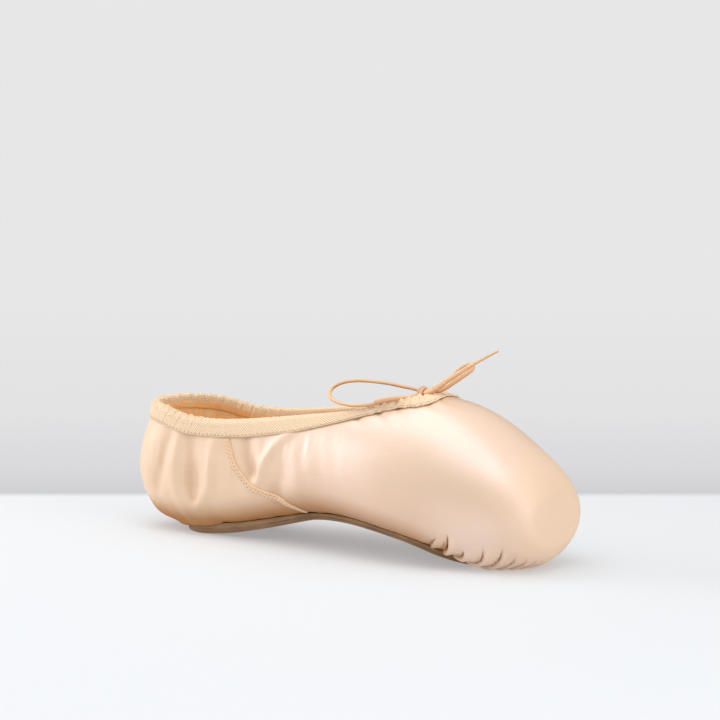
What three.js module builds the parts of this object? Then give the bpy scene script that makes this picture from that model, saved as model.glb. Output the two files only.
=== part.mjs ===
import * as THREE from 'three';
import { mergeVertices } from 'three/addons/utils/BufferGeometryUtils.js';

// Driving sizes of the shoe, in millimetres
const LENGTH = 236;
const BALL_WIDTH = 76;
const INSTEP_HEIGHT = 75;
const COLLAR_HEIGHT = 61.7;
const THROAT_X = 168;
const HEEL_X = 42;
const PLATFORM_ROUND = 13;
const PLATFORM_INSET = 8.1;
const TIP_X = LENGTH - PLATFORM_ROUND;
const TIP_SHARE = TIP_X / LENGTH;
const HEEL_PLAN_ROUND = 2.5;
const HEEL_BACK_ROUND = 3.3;

// Walls and clearances
const QUARTER_WALL = 1.4;
const BOX_WALL = 3.0;
const BOX_WALL_FROM = 174;
const BOX_WALL_FULL = 200;
const GAP = 0.3;

// Points closer together than this are one point
const MERGE = 1e-3;

// The last: one row for each cross-section from the heel's turn to the platform.
// at and width and ridge and widest are shares of the length, the ball's width and the instep's height.
// bottom is the height in millimetres of the satin over the floor; the rounds are superellipse powers.
const LAST = [
  { at: 0.178, bottom: 3.1, width: 0.763, widest: 0.367, ridge: 1.227, lowRound: 3.0, topRound: 2.0 },
  { at: 0.254, bottom: 4.6, width: 0.763, widest: 0.387, ridge: 1.21, lowRound: 2.8, topRound: 2.0 },
  { at: 0.36, bottom: 9.6, width: 0.776, widest: 0.42, ridge: 1.12, lowRound: 2.6, topRound: 2.0 },
  { at: 0.466, bottom: 15.2, width: 0.829, widest: 0.447, ridge: 1.03, lowRound: 2.6, topRound: 2.0 },
  { at: 0.572, bottom: 15.6, width: 0.908, widest: 0.433, ridge: 1.0, lowRound: 2.6, topRound: 2.0 },
  { at: 0.657, bottom: 13.0, width: 0.974, widest: 0.393, ridge: 0.995, lowRound: 2.6, topRound: 2.0 },
  { at: 0.742, bottom: 9.4, width: 1.0, widest: 0.353, ridge: 0.995, lowRound: 2.6, topRound: 2.0 },
  { at: 0.826, bottom: 3.2, width: 0.948, widest: 0.328, ridge: 0.928, lowRound: 2.5, topRound: 2.1 },
  { at: 0.89, bottom: -1.0, width: 0.844, widest: 0.324, ridge: 0.822, lowRound: 2.4, topRound: 2.12 },
  { at: TIP_SHARE, bottom: 0.9, width: 0.761, widest: 0.323, ridge: 0.691, lowRound: 1.95, topRound: 2.22 },
];

// The collar's edge: height over the floor at each place along the shoe
const COLLAR = [
  { at: 0, height: COLLAR_HEIGHT },
  { at: 14, height: 60.4 },
  { at: 30, height: 58.1 },
  { at: 57, height: 56.3 },
  { at: 85, height: 58.7 },
  { at: 115, height: 62.8 },
  { at: 145, height: 68.0 },
];

// The outsole: half-widths of its outline, and its thickness, along the shoe
const SOLE_BACK = 26;
const SOLE_FRONT = 201;
const SOLE_END_ROUND = 20;
const SOLE = [
  { at: 26, halfWidth: 16.5, thick: 3.0, crown: 0.0 },
  { at: 60, halfWidth: 18.0, thick: 3.0, crown: 0.4 },
  { at: 95, halfWidth: 16.2, thick: 3.0, crown: 1.0 },
  { at: 130, halfWidth: 19.0, thick: 2.8, crown: 1.3 },
  { at: 160, halfWidth: 23.0, thick: 2.4, crown: 1.6 },
  { at: 180, halfWidth: 24.0, thick: 2.2, crown: 1.4 },
  { at: 201, halfWidth: 21.5, thick: 1.2, crown: 0.4 },
];

// The opening that the outsole closes, underneath
const OPENING_BACK = 34;
const OPENING_FRONT = 190;
const OPENING_END_ROUND = 18;
const OPENING_MARGIN = 6.5;

const toRadians = Math.PI / 180;
const quarterTurn = Math.PI / 2;

// A smooth curve through the rows' own points: a natural cubic spline
function curveThrough(places, values) {
  const count = places.length;
  const bend = new Array(count).fill(0);
  const carry = new Array(count).fill(0);
  for (let i = 1; i < count - 1; i += 1) {
    const before = places[i] - places[i - 1];
    const after = places[i + 1] - places[i];
    const turn = (values[i + 1] - values[i]) / after - (values[i] - values[i - 1]) / before;
    const pivot = 2 * (before + after) - before * carry[i - 1];
    carry[i] = after / pivot;
    bend[i] = (6 * turn - before * bend[i - 1]) / pivot;
  }
  for (let i = count - 2; i > 0; i -= 1) {
    bend[i] -= carry[i] * bend[i + 1];
  }
  return (place) => {
    let i = 0;
    while (i < count - 2 && place > places[i + 1]) i += 1;
    const step = places[i + 1] - places[i];
    const a = (places[i + 1] - place) / step;
    const b = 1 - a;
    const lift = ((a ** 3 - a) * bend[i] + (b ** 3 - b) * bend[i + 1]) * (step ** 2) / 6;
    return a * values[i] + b * values[i + 1] + lift;
  };
}

function column(rows, name, placeScale, valueScale) {
  return curveThrough(rows.map((row) => row.at * placeScale), rows.map((row) => row[name] * valueScale));
}

const bottomAlong = column(LAST, 'bottom', LENGTH, 1);
const halfWidthAlong = column(LAST, 'width', LENGTH, BALL_WIDTH / 2);
const widestAlong = column(LAST, 'widest', LENGTH, INSTEP_HEIGHT);
const ridgeAlong = column(LAST, 'ridge', LENGTH, INSTEP_HEIGHT);
const lowRoundAlong = column(LAST, 'lowRound', LENGTH, 1);
const topRoundAlong = column(LAST, 'topRound', LENGTH, 1);
const collarAlong = column([...COLLAR, { at: THROAT_X, height: ridgeAlong(THROAT_X) }], 'height', 1, 1);
const soleWidthAlong = column(SOLE, 'halfWidth', 1, 1);
const soleThickAlong = column(SOLE, 'thick', 1, 1);
const soleCrownAlong = column(SOLE, 'crown', 1, 1);

// Past the tip's cross-section the sizes carry on with the slope that they have there
function sectionAt(x) {
  const at = Math.min(x, TIP_X);
  const back = 0.5;
  const carried = (along) => along(at) + (along(TIP_X) - along(TIP_X - back)) / back * (x - at);
  return {
    bottom: carried(bottomAlong),
    half: carried(halfWidthAlong),
    widest: carried(widestAlong),
    ridge: carried(ridgeAlong),
    lowRound: lowRoundAlong(at),
    topRound: topRoundAlong(at),
  };
}

function smoothStep(from, to, value) {
  const share = Math.min(Math.max((value - from) / (to - from), 0), 1);
  return share * share * (3 - 2 * share);
}

// A place along the last is a number: -1 to 0 turns round the heel, 0 to 1 runs along the side,
// 1 to 2 goes over the platform's edge and 2 to 3 runs in to the platform's middle.
function stationOfX(x) {
  return (x - HEEL_X) / (TIP_X - HEEL_X);
}

function edgeTurn(station) {
  return Math.min(Math.max(station - 1, 0), 1) * quarterTurn;
}

function xOfStation(station) {
  return HEEL_X + Math.min(station, 1) * (TIP_X - HEEL_X) + PLATFORM_ROUND * Math.sin(edgeTurn(station));
}

// Where the heel's half-plane stands, and how far the widest line lies from its axis
function heelTurn(station) {
  const turn = quarterTurn * (1 - station);
  const half = halfWidthAlong(HEEL_X);
  const across = (Math.abs(Math.sin(turn)) / half) ** HEEL_PLAN_ROUND;
  const back = (Math.abs(Math.cos(turn)) / HEEL_X) ** HEEL_PLAN_ROUND;
  return { turn, reach: (across + back) ** (-1 / HEEL_PLAN_ROUND) };
}

function sectionOfStation(station) {
  const section = sectionAt(Math.max(xOfStation(station), HEEL_X));
  const inset = PLATFORM_INSET * (1 - Math.cos(edgeTurn(station)));
  section.half -= inset;
  section.ridge -= inset;
  section.bottom += inset;
  if (station < 0) {
    const backness = Math.cos(heelTurn(station).turn) ** 2;
    section.lowRound += (HEEL_BACK_ROUND - section.lowRound) * backness;
  }
  return section;
}

// The section's outline at an angle: 0 is the ridge, 90 degrees the widest line, 180 the bottom
function outlineAt(section, angle) {
  const sine = Math.sin(angle);
  const cosine = Math.cos(angle);
  const round = cosine >= 0 ? section.topRound : section.lowRound;
  const across = Math.sign(sine) * Math.abs(sine) ** (2 / round);
  const rise = Math.abs(cosine) ** (2 / round);
  const reach = cosine >= 0 ? section.ridge - section.widest : section.bottom - section.widest;
  return { across, height: section.widest + reach * rise };
}

// The last's surface on the +Y side. It is cut flat where it would pass under the floor.
function surfacePoint(station, angle) {
  const section = sectionOfStation(station);
  const outline = outlineAt(section, angle);
  const floor = (height) => Math.max(height, 0);
  if (station < 0) {
    const { turn, reach } = heelTurn(station);
    const out = reach * outline.across;
    return new THREE.Vector3(HEEL_X + out * Math.cos(turn), out * Math.sin(turn), floor(outline.height));
  }
  const shrink = station > 2 ? 3 - station : 1;
  const middle = (section.ridge + section.bottom) / 2;
  return new THREE.Vector3(
    xOfStation(station),
    section.half * outline.across * shrink,
    floor(middle + (outline.height - middle) * shrink),
  );
}

function surfaceFrame(station, angle) {
  const small = 0.002;
  const along = surfacePoint(station + small, angle).sub(surfacePoint(station - small, angle));
  const down = surfacePoint(station, angle + small).sub(surfacePoint(station, angle - small));
  along.divideScalar(2 * small);
  down.divideScalar(2 * small);
  const normal = station >= 2 ? new THREE.Vector3(1, 0, 0) : along.clone().cross(down).normalize();
  return { along, down, normal };
}

// A point that stands off the last's surface: outwards when off is above zero
function offSurface(station, angle, off) {
  const { normal } = surfaceFrame(station, angle);
  return surfacePoint(station, angle).addScaledVector(normal, off);
}

function collarAngle(station) {
  if (station >= stationOfX(THROAT_X)) return 0;
  const section = sectionOfStation(station);
  const place = station < 0 ? HEEL_X * (1 + Math.cos(heelTurn(station).turn)) : xOfStation(station);
  const share = (collarAlong(place) - section.widest) / (section.ridge - section.widest);
  return Math.acos(Math.min(share, 1) ** (section.topRound / 2));
}

function angleUnder(section, share) {
  return Math.PI - Math.asin(Math.min(share, 1) ** (section.lowRound / 2));
}

// The edge of the opening underneath, inside the outsole's outline
function openingHalfWidth(x) {
  const past = Math.max(x - (OPENING_FRONT - OPENING_END_ROUND), 0) / OPENING_END_ROUND;
  return (soleWidthAlong(x) - OPENING_MARGIN) * Math.sqrt(Math.max(1 - past * past, 0));
}

function openingAngle(station) {
  const section = sectionOfStation(station);
  if (station < 0) {
    const { turn, reach } = heelTurn(station);
    const across = Math.sin(turn) / openingHalfWidth(HEEL_X);
    const back = Math.cos(turn) / (HEEL_X - OPENING_BACK);
    return angleUnder(section, 1 / Math.hypot(across, back) / reach);
  }
  if (station >= stationOfX(OPENING_FRONT)) return Math.PI;
  return angleUnder(section, openingHalfWidth(xOfStation(station)) / section.half);
}

function wallAt(station) {
  const stiffness = smoothStep(BOX_WALL_FROM, BOX_WALL_FULL, xOfStation(station));
  return QUARTER_WALL + (BOX_WALL - QUARTER_WALL) * stiffness;
}

// Even steps between named places
function stepsBetween(places, counts) {
  const steps = [places[0]];
  counts.forEach((count, i) => {
    for (let k = 1; k <= count; k += 1) {
      steps.push(places[i] + (places[i + 1] - places[i]) * k / count);
    }
  });
  return steps;
}

// Cross-sections crowd in, this far back, where an edge turns over the middle
const CROWDING = [14, 5, 1.3];
const HEEL_STEPS = 7;
const RIM_X = [HEEL_X, ...CROWDING.map((back) => THROAT_X - back), THROAT_X];
const RIM_COUNTS = [12, 2, 1, 1];
const BOX_X = [THROAT_X, ...CROWDING.map((back) => OPENING_FRONT - back), OPENING_FRONT, TIP_X];
const BOX_COUNTS = [2, 1, 1, 1, 4];
const EDGE_COUNTS = [4, 2];
const rimStations = [
  ...stepsBetween([-1, 0], [HEEL_STEPS]),
  ...stepsBetween(RIM_X, RIM_COUNTS).slice(1).map(stationOfX),
];
const upperStations = [
  ...rimStations,
  ...stepsBetween(BOX_X, BOX_COUNTS).slice(1).map(stationOfX),
  ...stepsBetween([1, 2, 3], EDGE_COUNTS).slice(1),
];
const UPPER_ANGLE_STEPS = 18;

function mirrored(point) {
  return new THREE.Vector3(point.x, -point.y, point.z);
}

function otherSide(rows) {
  return rows.map((row) => row.map(mirrored));
}

function backwards(rows) {
  return [...rows].reverse();
}

// A point within a hair of the middle plane is put on it, so that both sides meet
function onMiddle(point) {
  return Math.abs(point.y) < MERGE ? point.setY(0) : point;
}

// A solid's skin is gathered as quads; one that has two corners in one place becomes a triangle
class Skin {
  constructor() {
    this.corners = [];
  }

  triangle(a, b, c) {
    if (Math.min(a.distanceTo(b), b.distanceTo(c), c.distanceTo(a)) < MERGE) return;
    [a, b, c].forEach((point) => this.corners.push(point.x - LENGTH / 2, point.y, point.z));
  }

  quad(a, b, c, d) {
    this.triangle(a, b, c);
    this.triangle(a, c, d);
  }

  // Rows of points; the skin faces the way that (row direction) x (point direction) points
  grid(rows) {
    for (let i = 0; i + 1 < rows.length; i += 1) {
      for (let j = 0; j + 1 < rows[i].length; j += 1) {
        this.quad(rows[i][j], rows[i + 1][j], rows[i + 1][j + 1], rows[i][j + 1]);
      }
    }
  }

  geometry() {
    const geometry = new THREE.BufferGeometry();
    geometry.setAttribute('position', new THREE.Float32BufferAttribute(this.corners, 3));
    return mergeVertices(geometry, MERGE);
  }
}

// Closes a run of closed loops into a solid, with a flat cap on both ends
function loftedSolid(loops) {
  const skin = new Skin();
  skin.grid(loops.map((loop) => [...loop, loop[0]]));
  const first = loops[0];
  const last = loops[loops.length - 1];
  for (let i = 1; i + 1 < first.length; i += 1) {
    skin.triangle(first[0], first[i], first[i + 1]);
    skin.triangle(last[0], last[i + 1], last[i]);
  }
  return skin.geometry();
}

function meshOf(name, geometry, finish) {
  geometry.computeVertexNormals();
  const mesh = new THREE.Mesh(geometry, new THREE.MeshStandardMaterial({ ...finish, metalness: 0 }));
  mesh.name = name;
  return mesh;
}

// The upper: an outer and an inner skin over both sides, closed at the collar and underneath
function upperGeometry() {
  const skin = new Skin();
  const outer = [];
  const inner = [];
  upperStations.forEach((station) => {
    const angles = stepsBetween([collarAngle(station), openingAngle(station)], [UPPER_ANGLE_STEPS]);
    outer.push(angles.map((angle) => onMiddle(surfacePoint(station, angle))));
    inner.push(angles.map((angle) => onMiddle(offSurface(station, angle, -wallAt(station)))));
  });
  skin.grid(outer);
  skin.grid(backwards(inner));
  skin.grid(backwards(otherSide(outer)));
  skin.grid(otherSide(inner));
  [0, UPPER_ANGLE_STEPS].forEach((edge) => {
    for (let i = 0; i + 1 < outer.length; i += 1) {
      const corners = [outer[i][edge], outer[i + 1][edge], inner[i + 1][edge], inner[i][edge]];
      if (corners[0].y === 0 && corners[1].y === 0) continue;
      const quad = edge === 0 ? [...corners].reverse() : corners;
      skin.quad(...quad);
      skin.quad(...[...quad].reverse().map(mirrored));
    }
  });
  return skin.geometry();
}

// The collar's edge with the two directions that a band on it follows: down the wall, and off it
const rimPlaces = rimStations.map((station, i) => {
  const angle = collarAngle(station);
  const point = (k) => surfacePoint(rimStations[k], collarAngle(rimStations[k]));
  const before = i === 0 ? mirrored(point(1)) : point(i - 1);
  const after = i === rimStations.length - 1 ? mirrored(point(i - 1)) : point(i + 1);
  const { along, down, normal } = surfaceFrame(station, angle);
  const outward = normal.clone().cross(after.sub(before)).normalize();
  const stretch = along.dot(along) * down.dot(down) - along.dot(down) ** 2;
  const alongShare = along.dot(outward);
  const downShare = down.dot(outward);
  return {
    station,
    angle,
    stationRate: (alongShare * down.dot(down) - downShare * along.dot(down)) / stretch,
    angleRate: (downShare * along.dot(along) - alongShare * along.dot(down)) / stretch,
  };
});

// A closed band round the collar, from a section whose points stand off the wall and down from its edge
function collarBandGeometry(sectionAt) {
  const loopAt = (rim) => sectionAt(xOfStation(rim.station)).map(({ off, down }) => onMiddle(
    offSurface(rim.station + rim.stationRate * down, rim.angle + rim.angleRate * down, off),
  ));
  const near = rimPlaces.map(loopAt);
  const far = near.slice(1, -1).reverse().map((loop) => loop.map(mirrored));
  const loops = [...near, ...far, near[0]];
  const skin = new Skin();
  skin.grid(loops.map((loop) => [...loop, loop[0]]));
  return skin.geometry();
}

// A strip on the wall along a line of places, raised off it by its thickness
function stripGeometry(places, section, side) {
  const loops = places.map(({ x, angle }, i) => {
    const before = places[Math.max(i - 1, 0)];
    const after = places[Math.min(i + 1, places.length - 1)];
    const { normal } = surfaceFrame(stationOfX(x), angle);
    const centre = surfacePoint(stationOfX(x), angle);
    const run = surfacePoint(stationOfX(after.x), after.angle);
    run.sub(surfacePoint(stationOfX(before.x), before.angle)).normalize();
    const across = normal.clone().cross(run).normalize();
    return section.map(({ off, behind }) => {
      const point = centre.clone().addScaledVector(normal, off).addScaledVector(across, behind);
      return side > 0 ? point : mirrored(point);
    });
  });
  return loftedSolid(side > 0 ? loops.map((loop) => [...loop].reverse()) : loops);
}

// The underside of the last at a place in plan
function bottomHeight(x, y) {
  const behind = x < HEEL_X;
  const station = behind ? Math.atan2(Math.abs(y), HEEL_X - x) / quarterTurn - 1 : stationOfX(x);
  const section = sectionOfStation(station);
  const share = behind ? Math.hypot(x - HEEL_X, y) / heelTurn(station).reach : Math.abs(y) / section.half;
  return outlineAt(section, angleUnder(section, share)).height;
}

function bottomNormal(x, y) {
  const small = 0.05;
  const slopeX = (bottomHeight(x + small, y) - bottomHeight(x - small, y)) / (2 * small);
  const slopeY = (bottomHeight(x, y + small) - bottomHeight(x, y - small)) / (2 * small);
  return new THREE.Vector3(-slopeX, -slopeY, 1).normalize();
}

// A plate's half-width inside its round ends
function roundEnds(halfWidth, from, to, round, x) {
  const past = Math.max(from + round - x, x - (to - round), 0) / round;
  return halfWidth * Math.sqrt(Math.max(1 - past * past, 0));
}

// Places along a plate: closer together where its ends turn round, and the upper's own between them
function plateStations(from, to, round) {
  const turns = stepsBetween([0, quarterTurn], [PLATE_END_STEPS]);
  const back = turns.map((turn) => from + round * (1 - Math.cos(turn)));
  const front = backwards(back.map((x) => to - (x - from)));
  const clear = 2;
  const middle = upperStations.filter((station) => station >= 0 && station <= 1).map(xOfStation);
  return [...back, ...middle.filter((x) => x > from + round + clear && x < to - round - clear), ...front];
}

// A plate that follows the last's underside: a column of points at each share of the width
function plateGeometry(stations, halfWidthAt, shares, topPoint, underPoint, edgePoint) {
  const loops = stations.map((x) => {
    const half = Math.max(halfWidthAt(x), PLATE_TIP);
    const top = shares.map((share) => topPoint(x, half * share));
    const under = [...shares].reverse().map((share) => underPoint(x, half * share));
    const edge = (share) => (edgePoint ? [edgePoint(x, half * share)] : []);
    return [...top, ...edge(shares[shares.length - 1]), ...under, ...edge(shares[0])];
  });
  return loftedSolid(loops);
}

const PLATE_END_STEPS = 6;
const PLATE_TIP = 1.5;
const PLATE_SHARES = [-1, -0.8, -0.4, 0, 0.4, 0.8, 1];
const EDGE_SWELL = 0.35;

function soleHalfWidth(x) {
  return roundEnds(soleWidthAlong(x), SOLE_BACK, SOLE_FRONT, SOLE_END_ROUND, x);
}

function soleTop(x, y) {
  return new THREE.Vector3(x, y, bottomHeight(x, y) - GAP);
}

function soleUnder(x, y) {
  const crown = soleCrownAlong(x) * (y / soleWidthAlong(x)) ** 2;
  return new THREE.Vector3(x, y, Math.max(bottomHeight(x, 0) - GAP - soleThickAlong(x) + crown, 0));
}

// The side of the outsole swells to a rib at half its thickness
function soleEdge(x, y) {
  const point = soleTop(x, y).add(soleUnder(x, y)).multiplyScalar(0.5);
  point.y += Math.sign(y) * EDGE_SWELL;
  return point;
}

function outsoleGeometry() {
  const stations = plateStations(SOLE_BACK, SOLE_FRONT, SOLE_END_ROUND);
  return plateGeometry(stations, soleHalfWidth, PLATE_SHARES, soleTop, soleUnder, soleEdge);
}

// The insole lies on the upper's turned-in edge
const INSOLE_BACK = 13;
const INSOLE_FRONT = 196;
const INSOLE_END_ROUND = 20;
const INSOLE_THICK = 1.6;
const INSOLE_SHARE = 0.66;

function insoleHalfWidth(x) {
  const half = halfWidthAlong(Math.max(x, HEEL_X)) * INSOLE_SHARE;
  return roundEnds(half, INSOLE_BACK, INSOLE_FRONT, INSOLE_END_ROUND, x);
}

function insolePoint(off) {
  return (x, y) => {
    const lift = wallAt(stationOfX(x)) + GAP + off;
    return new THREE.Vector3(x, y, Math.max(bottomHeight(x, y), 0)).addScaledVector(bottomNormal(x, y), lift);
  };
}

function insoleGeometry() {
  const stations = plateStations(INSOLE_BACK, INSOLE_FRONT, INSOLE_END_ROUND);
  return plateGeometry(stations, insoleHalfWidth, PLATE_SHARES, insolePoint(INSOLE_THICK), insolePoint(0));
}

// The binding: a casing folded over the collar's edge, with the drawstring's round along its top.
// Its section goes up inside the wall's clearance, over the edge, down the lining and back over the round.
const BINDING_DEPTHS = [
  { at: HEEL_X, depth: 6.8 },
  { at: 78, depth: 6.8 },
  { at: 104, depth: 6.7 },
  { at: 122, depth: 5.6 },
  { at: 138, depth: 4.3 },
  { at: 154, depth: 4.0 },
  { at: THROAT_X, depth: 5.2 },
];
const BINDING_TURN_IN = 5.3;
const BINDING_CLOTH = 0.8;
const BINDING_SWELL = 0.2;
const BINDING_RISE = 1.9;
const BINDING_SHOULDER = 1.1;
const BINDING_OFF = GAP + 0.25;
const BINDING_INSIDE = -QUARTER_WALL - BINDING_OFF;
const bindingDepthAlong = column(BINDING_DEPTHS, 'depth', 1, 1);
const bindingAt = (x) => [
  { off: BINDING_OFF, down: bindingDepthAlong(x) },
  { off: BINDING_OFF, down: bindingDepthAlong(x) / 2 },
  { off: BINDING_OFF, down: -BINDING_OFF },
  { off: BINDING_INSIDE, down: -BINDING_OFF },
  { off: BINDING_INSIDE, down: BINDING_TURN_IN },
  { off: BINDING_INSIDE - BINDING_CLOTH, down: BINDING_TURN_IN },
  { off: BINDING_INSIDE - BINDING_CLOTH - BINDING_SWELL, down: BINDING_SHOULDER },
  { off: -QUARTER_WALL - BINDING_CLOTH, down: -BINDING_SHOULDER },
  { off: -QUARTER_WALL / 2, down: -BINDING_RISE },
  { off: BINDING_CLOTH, down: -BINDING_SHOULDER },
  { off: BINDING_OFF + BINDING_CLOTH + BINDING_SWELL, down: BINDING_SHOULDER },
  { off: BINDING_OFF + BINDING_CLOTH, down: bindingDepthAlong(x) },
];

// The side seam: where the heel's satin laps over the vamp, from the binding down to the outsole
const SEAM = [
  { at: 71.2, x: 69.4 },
  { at: 75.4, x: 71.2 },
  { at: 80.8, x: 73.6 },
  { at: 86.9, x: 78.4 },
  { at: 92, x: 83.3 },
  { at: 98.8, x: 90.5 },
  { at: 115.8, x: 103.1 },
  { at: 130, x: 108.2 },
  { at: 146, x: 110.5 },
];
const SEAM_WIDTH = 3;
const SEAM_CLOTH = 0.6;
const SEAM_STEPS = 14;
const SEAM_OFF = GAP + 0.1;

// The seam's section, with its height and its reach behind the fold as shares of its cloth and its width
const SEAM_SECTION = [
  { height: 0, reach: 0 },
  { height: 0, reach: 1 },
  { height: 0.6, reach: 1 },
  { height: 1, reach: 0.7 },
  { height: 1, reach: 0.2 },
  { height: 0.7, reach: 0 },
].map(({ height, reach }) => ({ off: SEAM_OFF + SEAM_CLOTH * height, behind: SEAM_WIDTH * reach }));
const seamXAt = column(SEAM, 'x', 1, 1);
const seamPlaces = stepsBetween([SEAM[0].at, SEAM[SEAM.length - 1].at], [SEAM_STEPS]).map((at) => (
  { x: seamXAt(at), angle: at * toRadians }
));

// The drawstring's bow at the throat: places along each run, from the knot outwards
const CORD = 1.9;
const CORD_SIDES = 8;
const KNOT = { x: 163.8, y: -2.2, z: 77.2, length: 5.2, width: 5.4, height: 5.8, sides: 12, rings: 8 };
const RUNS = {
  drawstring_loop_heelward: {
    steps: 26,
    route: [
      [160.5, -1.6, 78.2], [152, -3.4, 79.0], [142, -6, 79.8], [131, -9, 80.0], [124.4, -11.2, 78.8],
      [120.2, -13.6, 76.2], [120.4, -16.1, 73.6], [123.5, -18.2, 71.4], [129, -20, 69.9], [135, -21, 69.4],
      [141, -20.6, 69.9], [147, -17.6, 71.0], [152, -11.8, 72.6], [156.4, -6.6, 75.0], [160.4, -3.5, 76.4],
    ],
  },
  drawstring_loop_toeward: {
    steps: 22,
    route: [
      [167.3, -1.6, 77.8], [170.8, -1.0, 78.4], [173.7, 0.5, 79.3], [177.1, 2.0, 81.0], [180.2, 4.0, 83.1],
      [183, 6.3, 85.6], [184.5, 8.6, 88.0], [182.6, 10.8, 89.7], [179.6, 10.4, 89.6], [177, 9.0, 88.0],
      [174.1, 7.0, 85.0], [170.7, 4.6, 81.8], [167.4, 1.4, 79.4],
    ],
  },
  drawstring_end_heelward: {
    steps: 8,
    route: [
      [161.7, -5.4, 74.7], [159.8, -10.6, 75.1], [157, -15.2, 74.2], [153.9, -18.2, 72.9], [150.9, -20.2, 72.0],
    ],
  },
  drawstring_end_toeward: {
    steps: 12,
    route: [
      [167.3, -4.7, 77.6], [170.2, -4.4, 78.6], [172.9, -3.7, 80.1], [176.3, -2, 82.5], [181.7, 1.6, 86.3],
      [187, 6.2, 90.5], [191.7, 9.8, 93.7], [195.6, 12.2, 96.1],
    ],
  },
};

function cordGeometry({ route, steps }) {
  const points = route.map(([x, y, z]) => new THREE.Vector3(x - LENGTH / 2, y, z));
  const path = new THREE.CatmullRomCurve3(points, false, 'centripetal');
  const section = new THREE.Shape();
  for (let i = 0; i < CORD_SIDES; i += 1) {
    const turn = 2 * Math.PI * i / CORD_SIDES;
    const place = [Math.cos(turn) * CORD / 2, Math.sin(turn) * CORD / 2];
    if (i === 0) section.moveTo(...place);
    else section.lineTo(...place);
  }
  section.closePath();
  const tube = new THREE.ExtrudeGeometry(section, { steps, extrudePath: path });
  tube.deleteAttribute('normal');
  tube.deleteAttribute('uv');
  return mergeVertices(tube, MERGE);
}

function knotGeometry() {
  const round = new THREE.SphereGeometry(0.5, KNOT.sides, KNOT.rings);
  round.deleteAttribute('normal');
  round.deleteAttribute('uv');
  round.scale(KNOT.length, KNOT.width, KNOT.height);
  round.translate(KNOT.x - LENGTH / 2, KNOT.y, KNOT.z);
  return mergeVertices(round, MERGE);
}

const satin = { color: 0xefd3b2, roughness: 0.4 };
const twill = { color: 0xf3dcae, roughness: 0.85 };
const leather = { color: 0xa98761, roughness: 0.7 };
const board = { color: 0xd9c3a0, roughness: 0.8 };
const elastic = { color: 0xe9c193, roughness: 0.6 };

const shoe = new THREE.Group();
shoe.add(meshOf('upper', upperGeometry(), satin));
shoe.add(meshOf('outsole', outsoleGeometry(), leather));
shoe.add(meshOf('insole', insoleGeometry(), board));
shoe.add(meshOf('binding', collarBandGeometry(bindingAt), twill));
shoe.add(meshOf('side_seam_left', stripGeometry(seamPlaces, SEAM_SECTION, 1), satin));
shoe.add(meshOf('side_seam_right', stripGeometry(seamPlaces, SEAM_SECTION, -1), satin));
shoe.add(meshOf('drawstring_knot', knotGeometry(), elastic));
Object.entries(RUNS).forEach(([name, run]) => shoe.add(meshOf(name, cordGeometry(run), elastic)));

export default shoe;
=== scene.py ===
import math

import bpy
import numpy as np
from mathutils import Matrix, Vector


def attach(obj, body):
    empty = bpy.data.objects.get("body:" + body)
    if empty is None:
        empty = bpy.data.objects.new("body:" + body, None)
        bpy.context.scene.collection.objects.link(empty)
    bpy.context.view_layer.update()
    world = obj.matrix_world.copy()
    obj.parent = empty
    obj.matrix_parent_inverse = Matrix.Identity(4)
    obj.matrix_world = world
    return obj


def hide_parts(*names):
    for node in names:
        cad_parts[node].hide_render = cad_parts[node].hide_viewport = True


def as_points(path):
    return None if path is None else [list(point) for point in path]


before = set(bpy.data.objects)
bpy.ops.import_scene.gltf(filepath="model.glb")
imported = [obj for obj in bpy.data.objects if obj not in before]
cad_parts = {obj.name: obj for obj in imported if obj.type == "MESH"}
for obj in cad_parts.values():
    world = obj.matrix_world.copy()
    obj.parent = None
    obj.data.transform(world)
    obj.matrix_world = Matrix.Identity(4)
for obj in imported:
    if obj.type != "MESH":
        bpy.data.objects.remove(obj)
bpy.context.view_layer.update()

# Sizes are in millimetres, measured from the back of the heel; Blender's own unit is the metre
MM = 0.001
LENGTH = 236.0
BALL_WIDTH = 76.0
INSTEP_HEIGHT = 75.0
THROAT_X = 168.0
HEEL_X = 42.0
PLATFORM_ROUND = 13.0
PLATFORM_INSET = 8.1
TIP_X = LENGTH - PLATFORM_ROUND
HEEL_PLAN_ROUND = 2.5
HEEL_BACK_ROUND = 3.3
QUARTER_WALL = 1.4
BOX_WALL = 3.0
BOX_WALL_FROM = 174.0
BOX_WALL_FULL = 200.0
GAP = 0.3
RIGHT = -1
LEFT = 1

# Stitches, in the cloth's own millimetres: how far apart they are, and where the rows of needle holes lie
BINDING_PITCH = 2.3
BINDING_ROW = 46.0
SEAM_PITCH = 2.0
SEAM_HOLES = (2.21, 3.88)


def metres(points):
    """Points in the shoe's own millimetres, as metres in the shared frame."""
    return (np.asarray(points, float) - [LENGTH / 2, 0, 0]) * MM


def new_object(name, data):
    made = bpy.data.objects.new(name, data)
    bpy.context.scene.collection.objects.link(made)
    return made


# The camera stands where the photograph's did: millimetres and degrees, and the lens in pixels
CAMERA_AZIMUTH = math.radians(36.0)
CAMERA_ELEVATION = math.radians(6.43)
CAMERA_DISTANCE = 1285.0
CAMERA_TARGET = (126.27, 0.0, 88.46)
CAMERA_CLIPS = (0.05, 50.0)
FOCAL_PIXELS = 2736.0
PICTURE_PIXELS = 720.0
SENSOR_WIDTH = 36.0


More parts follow.
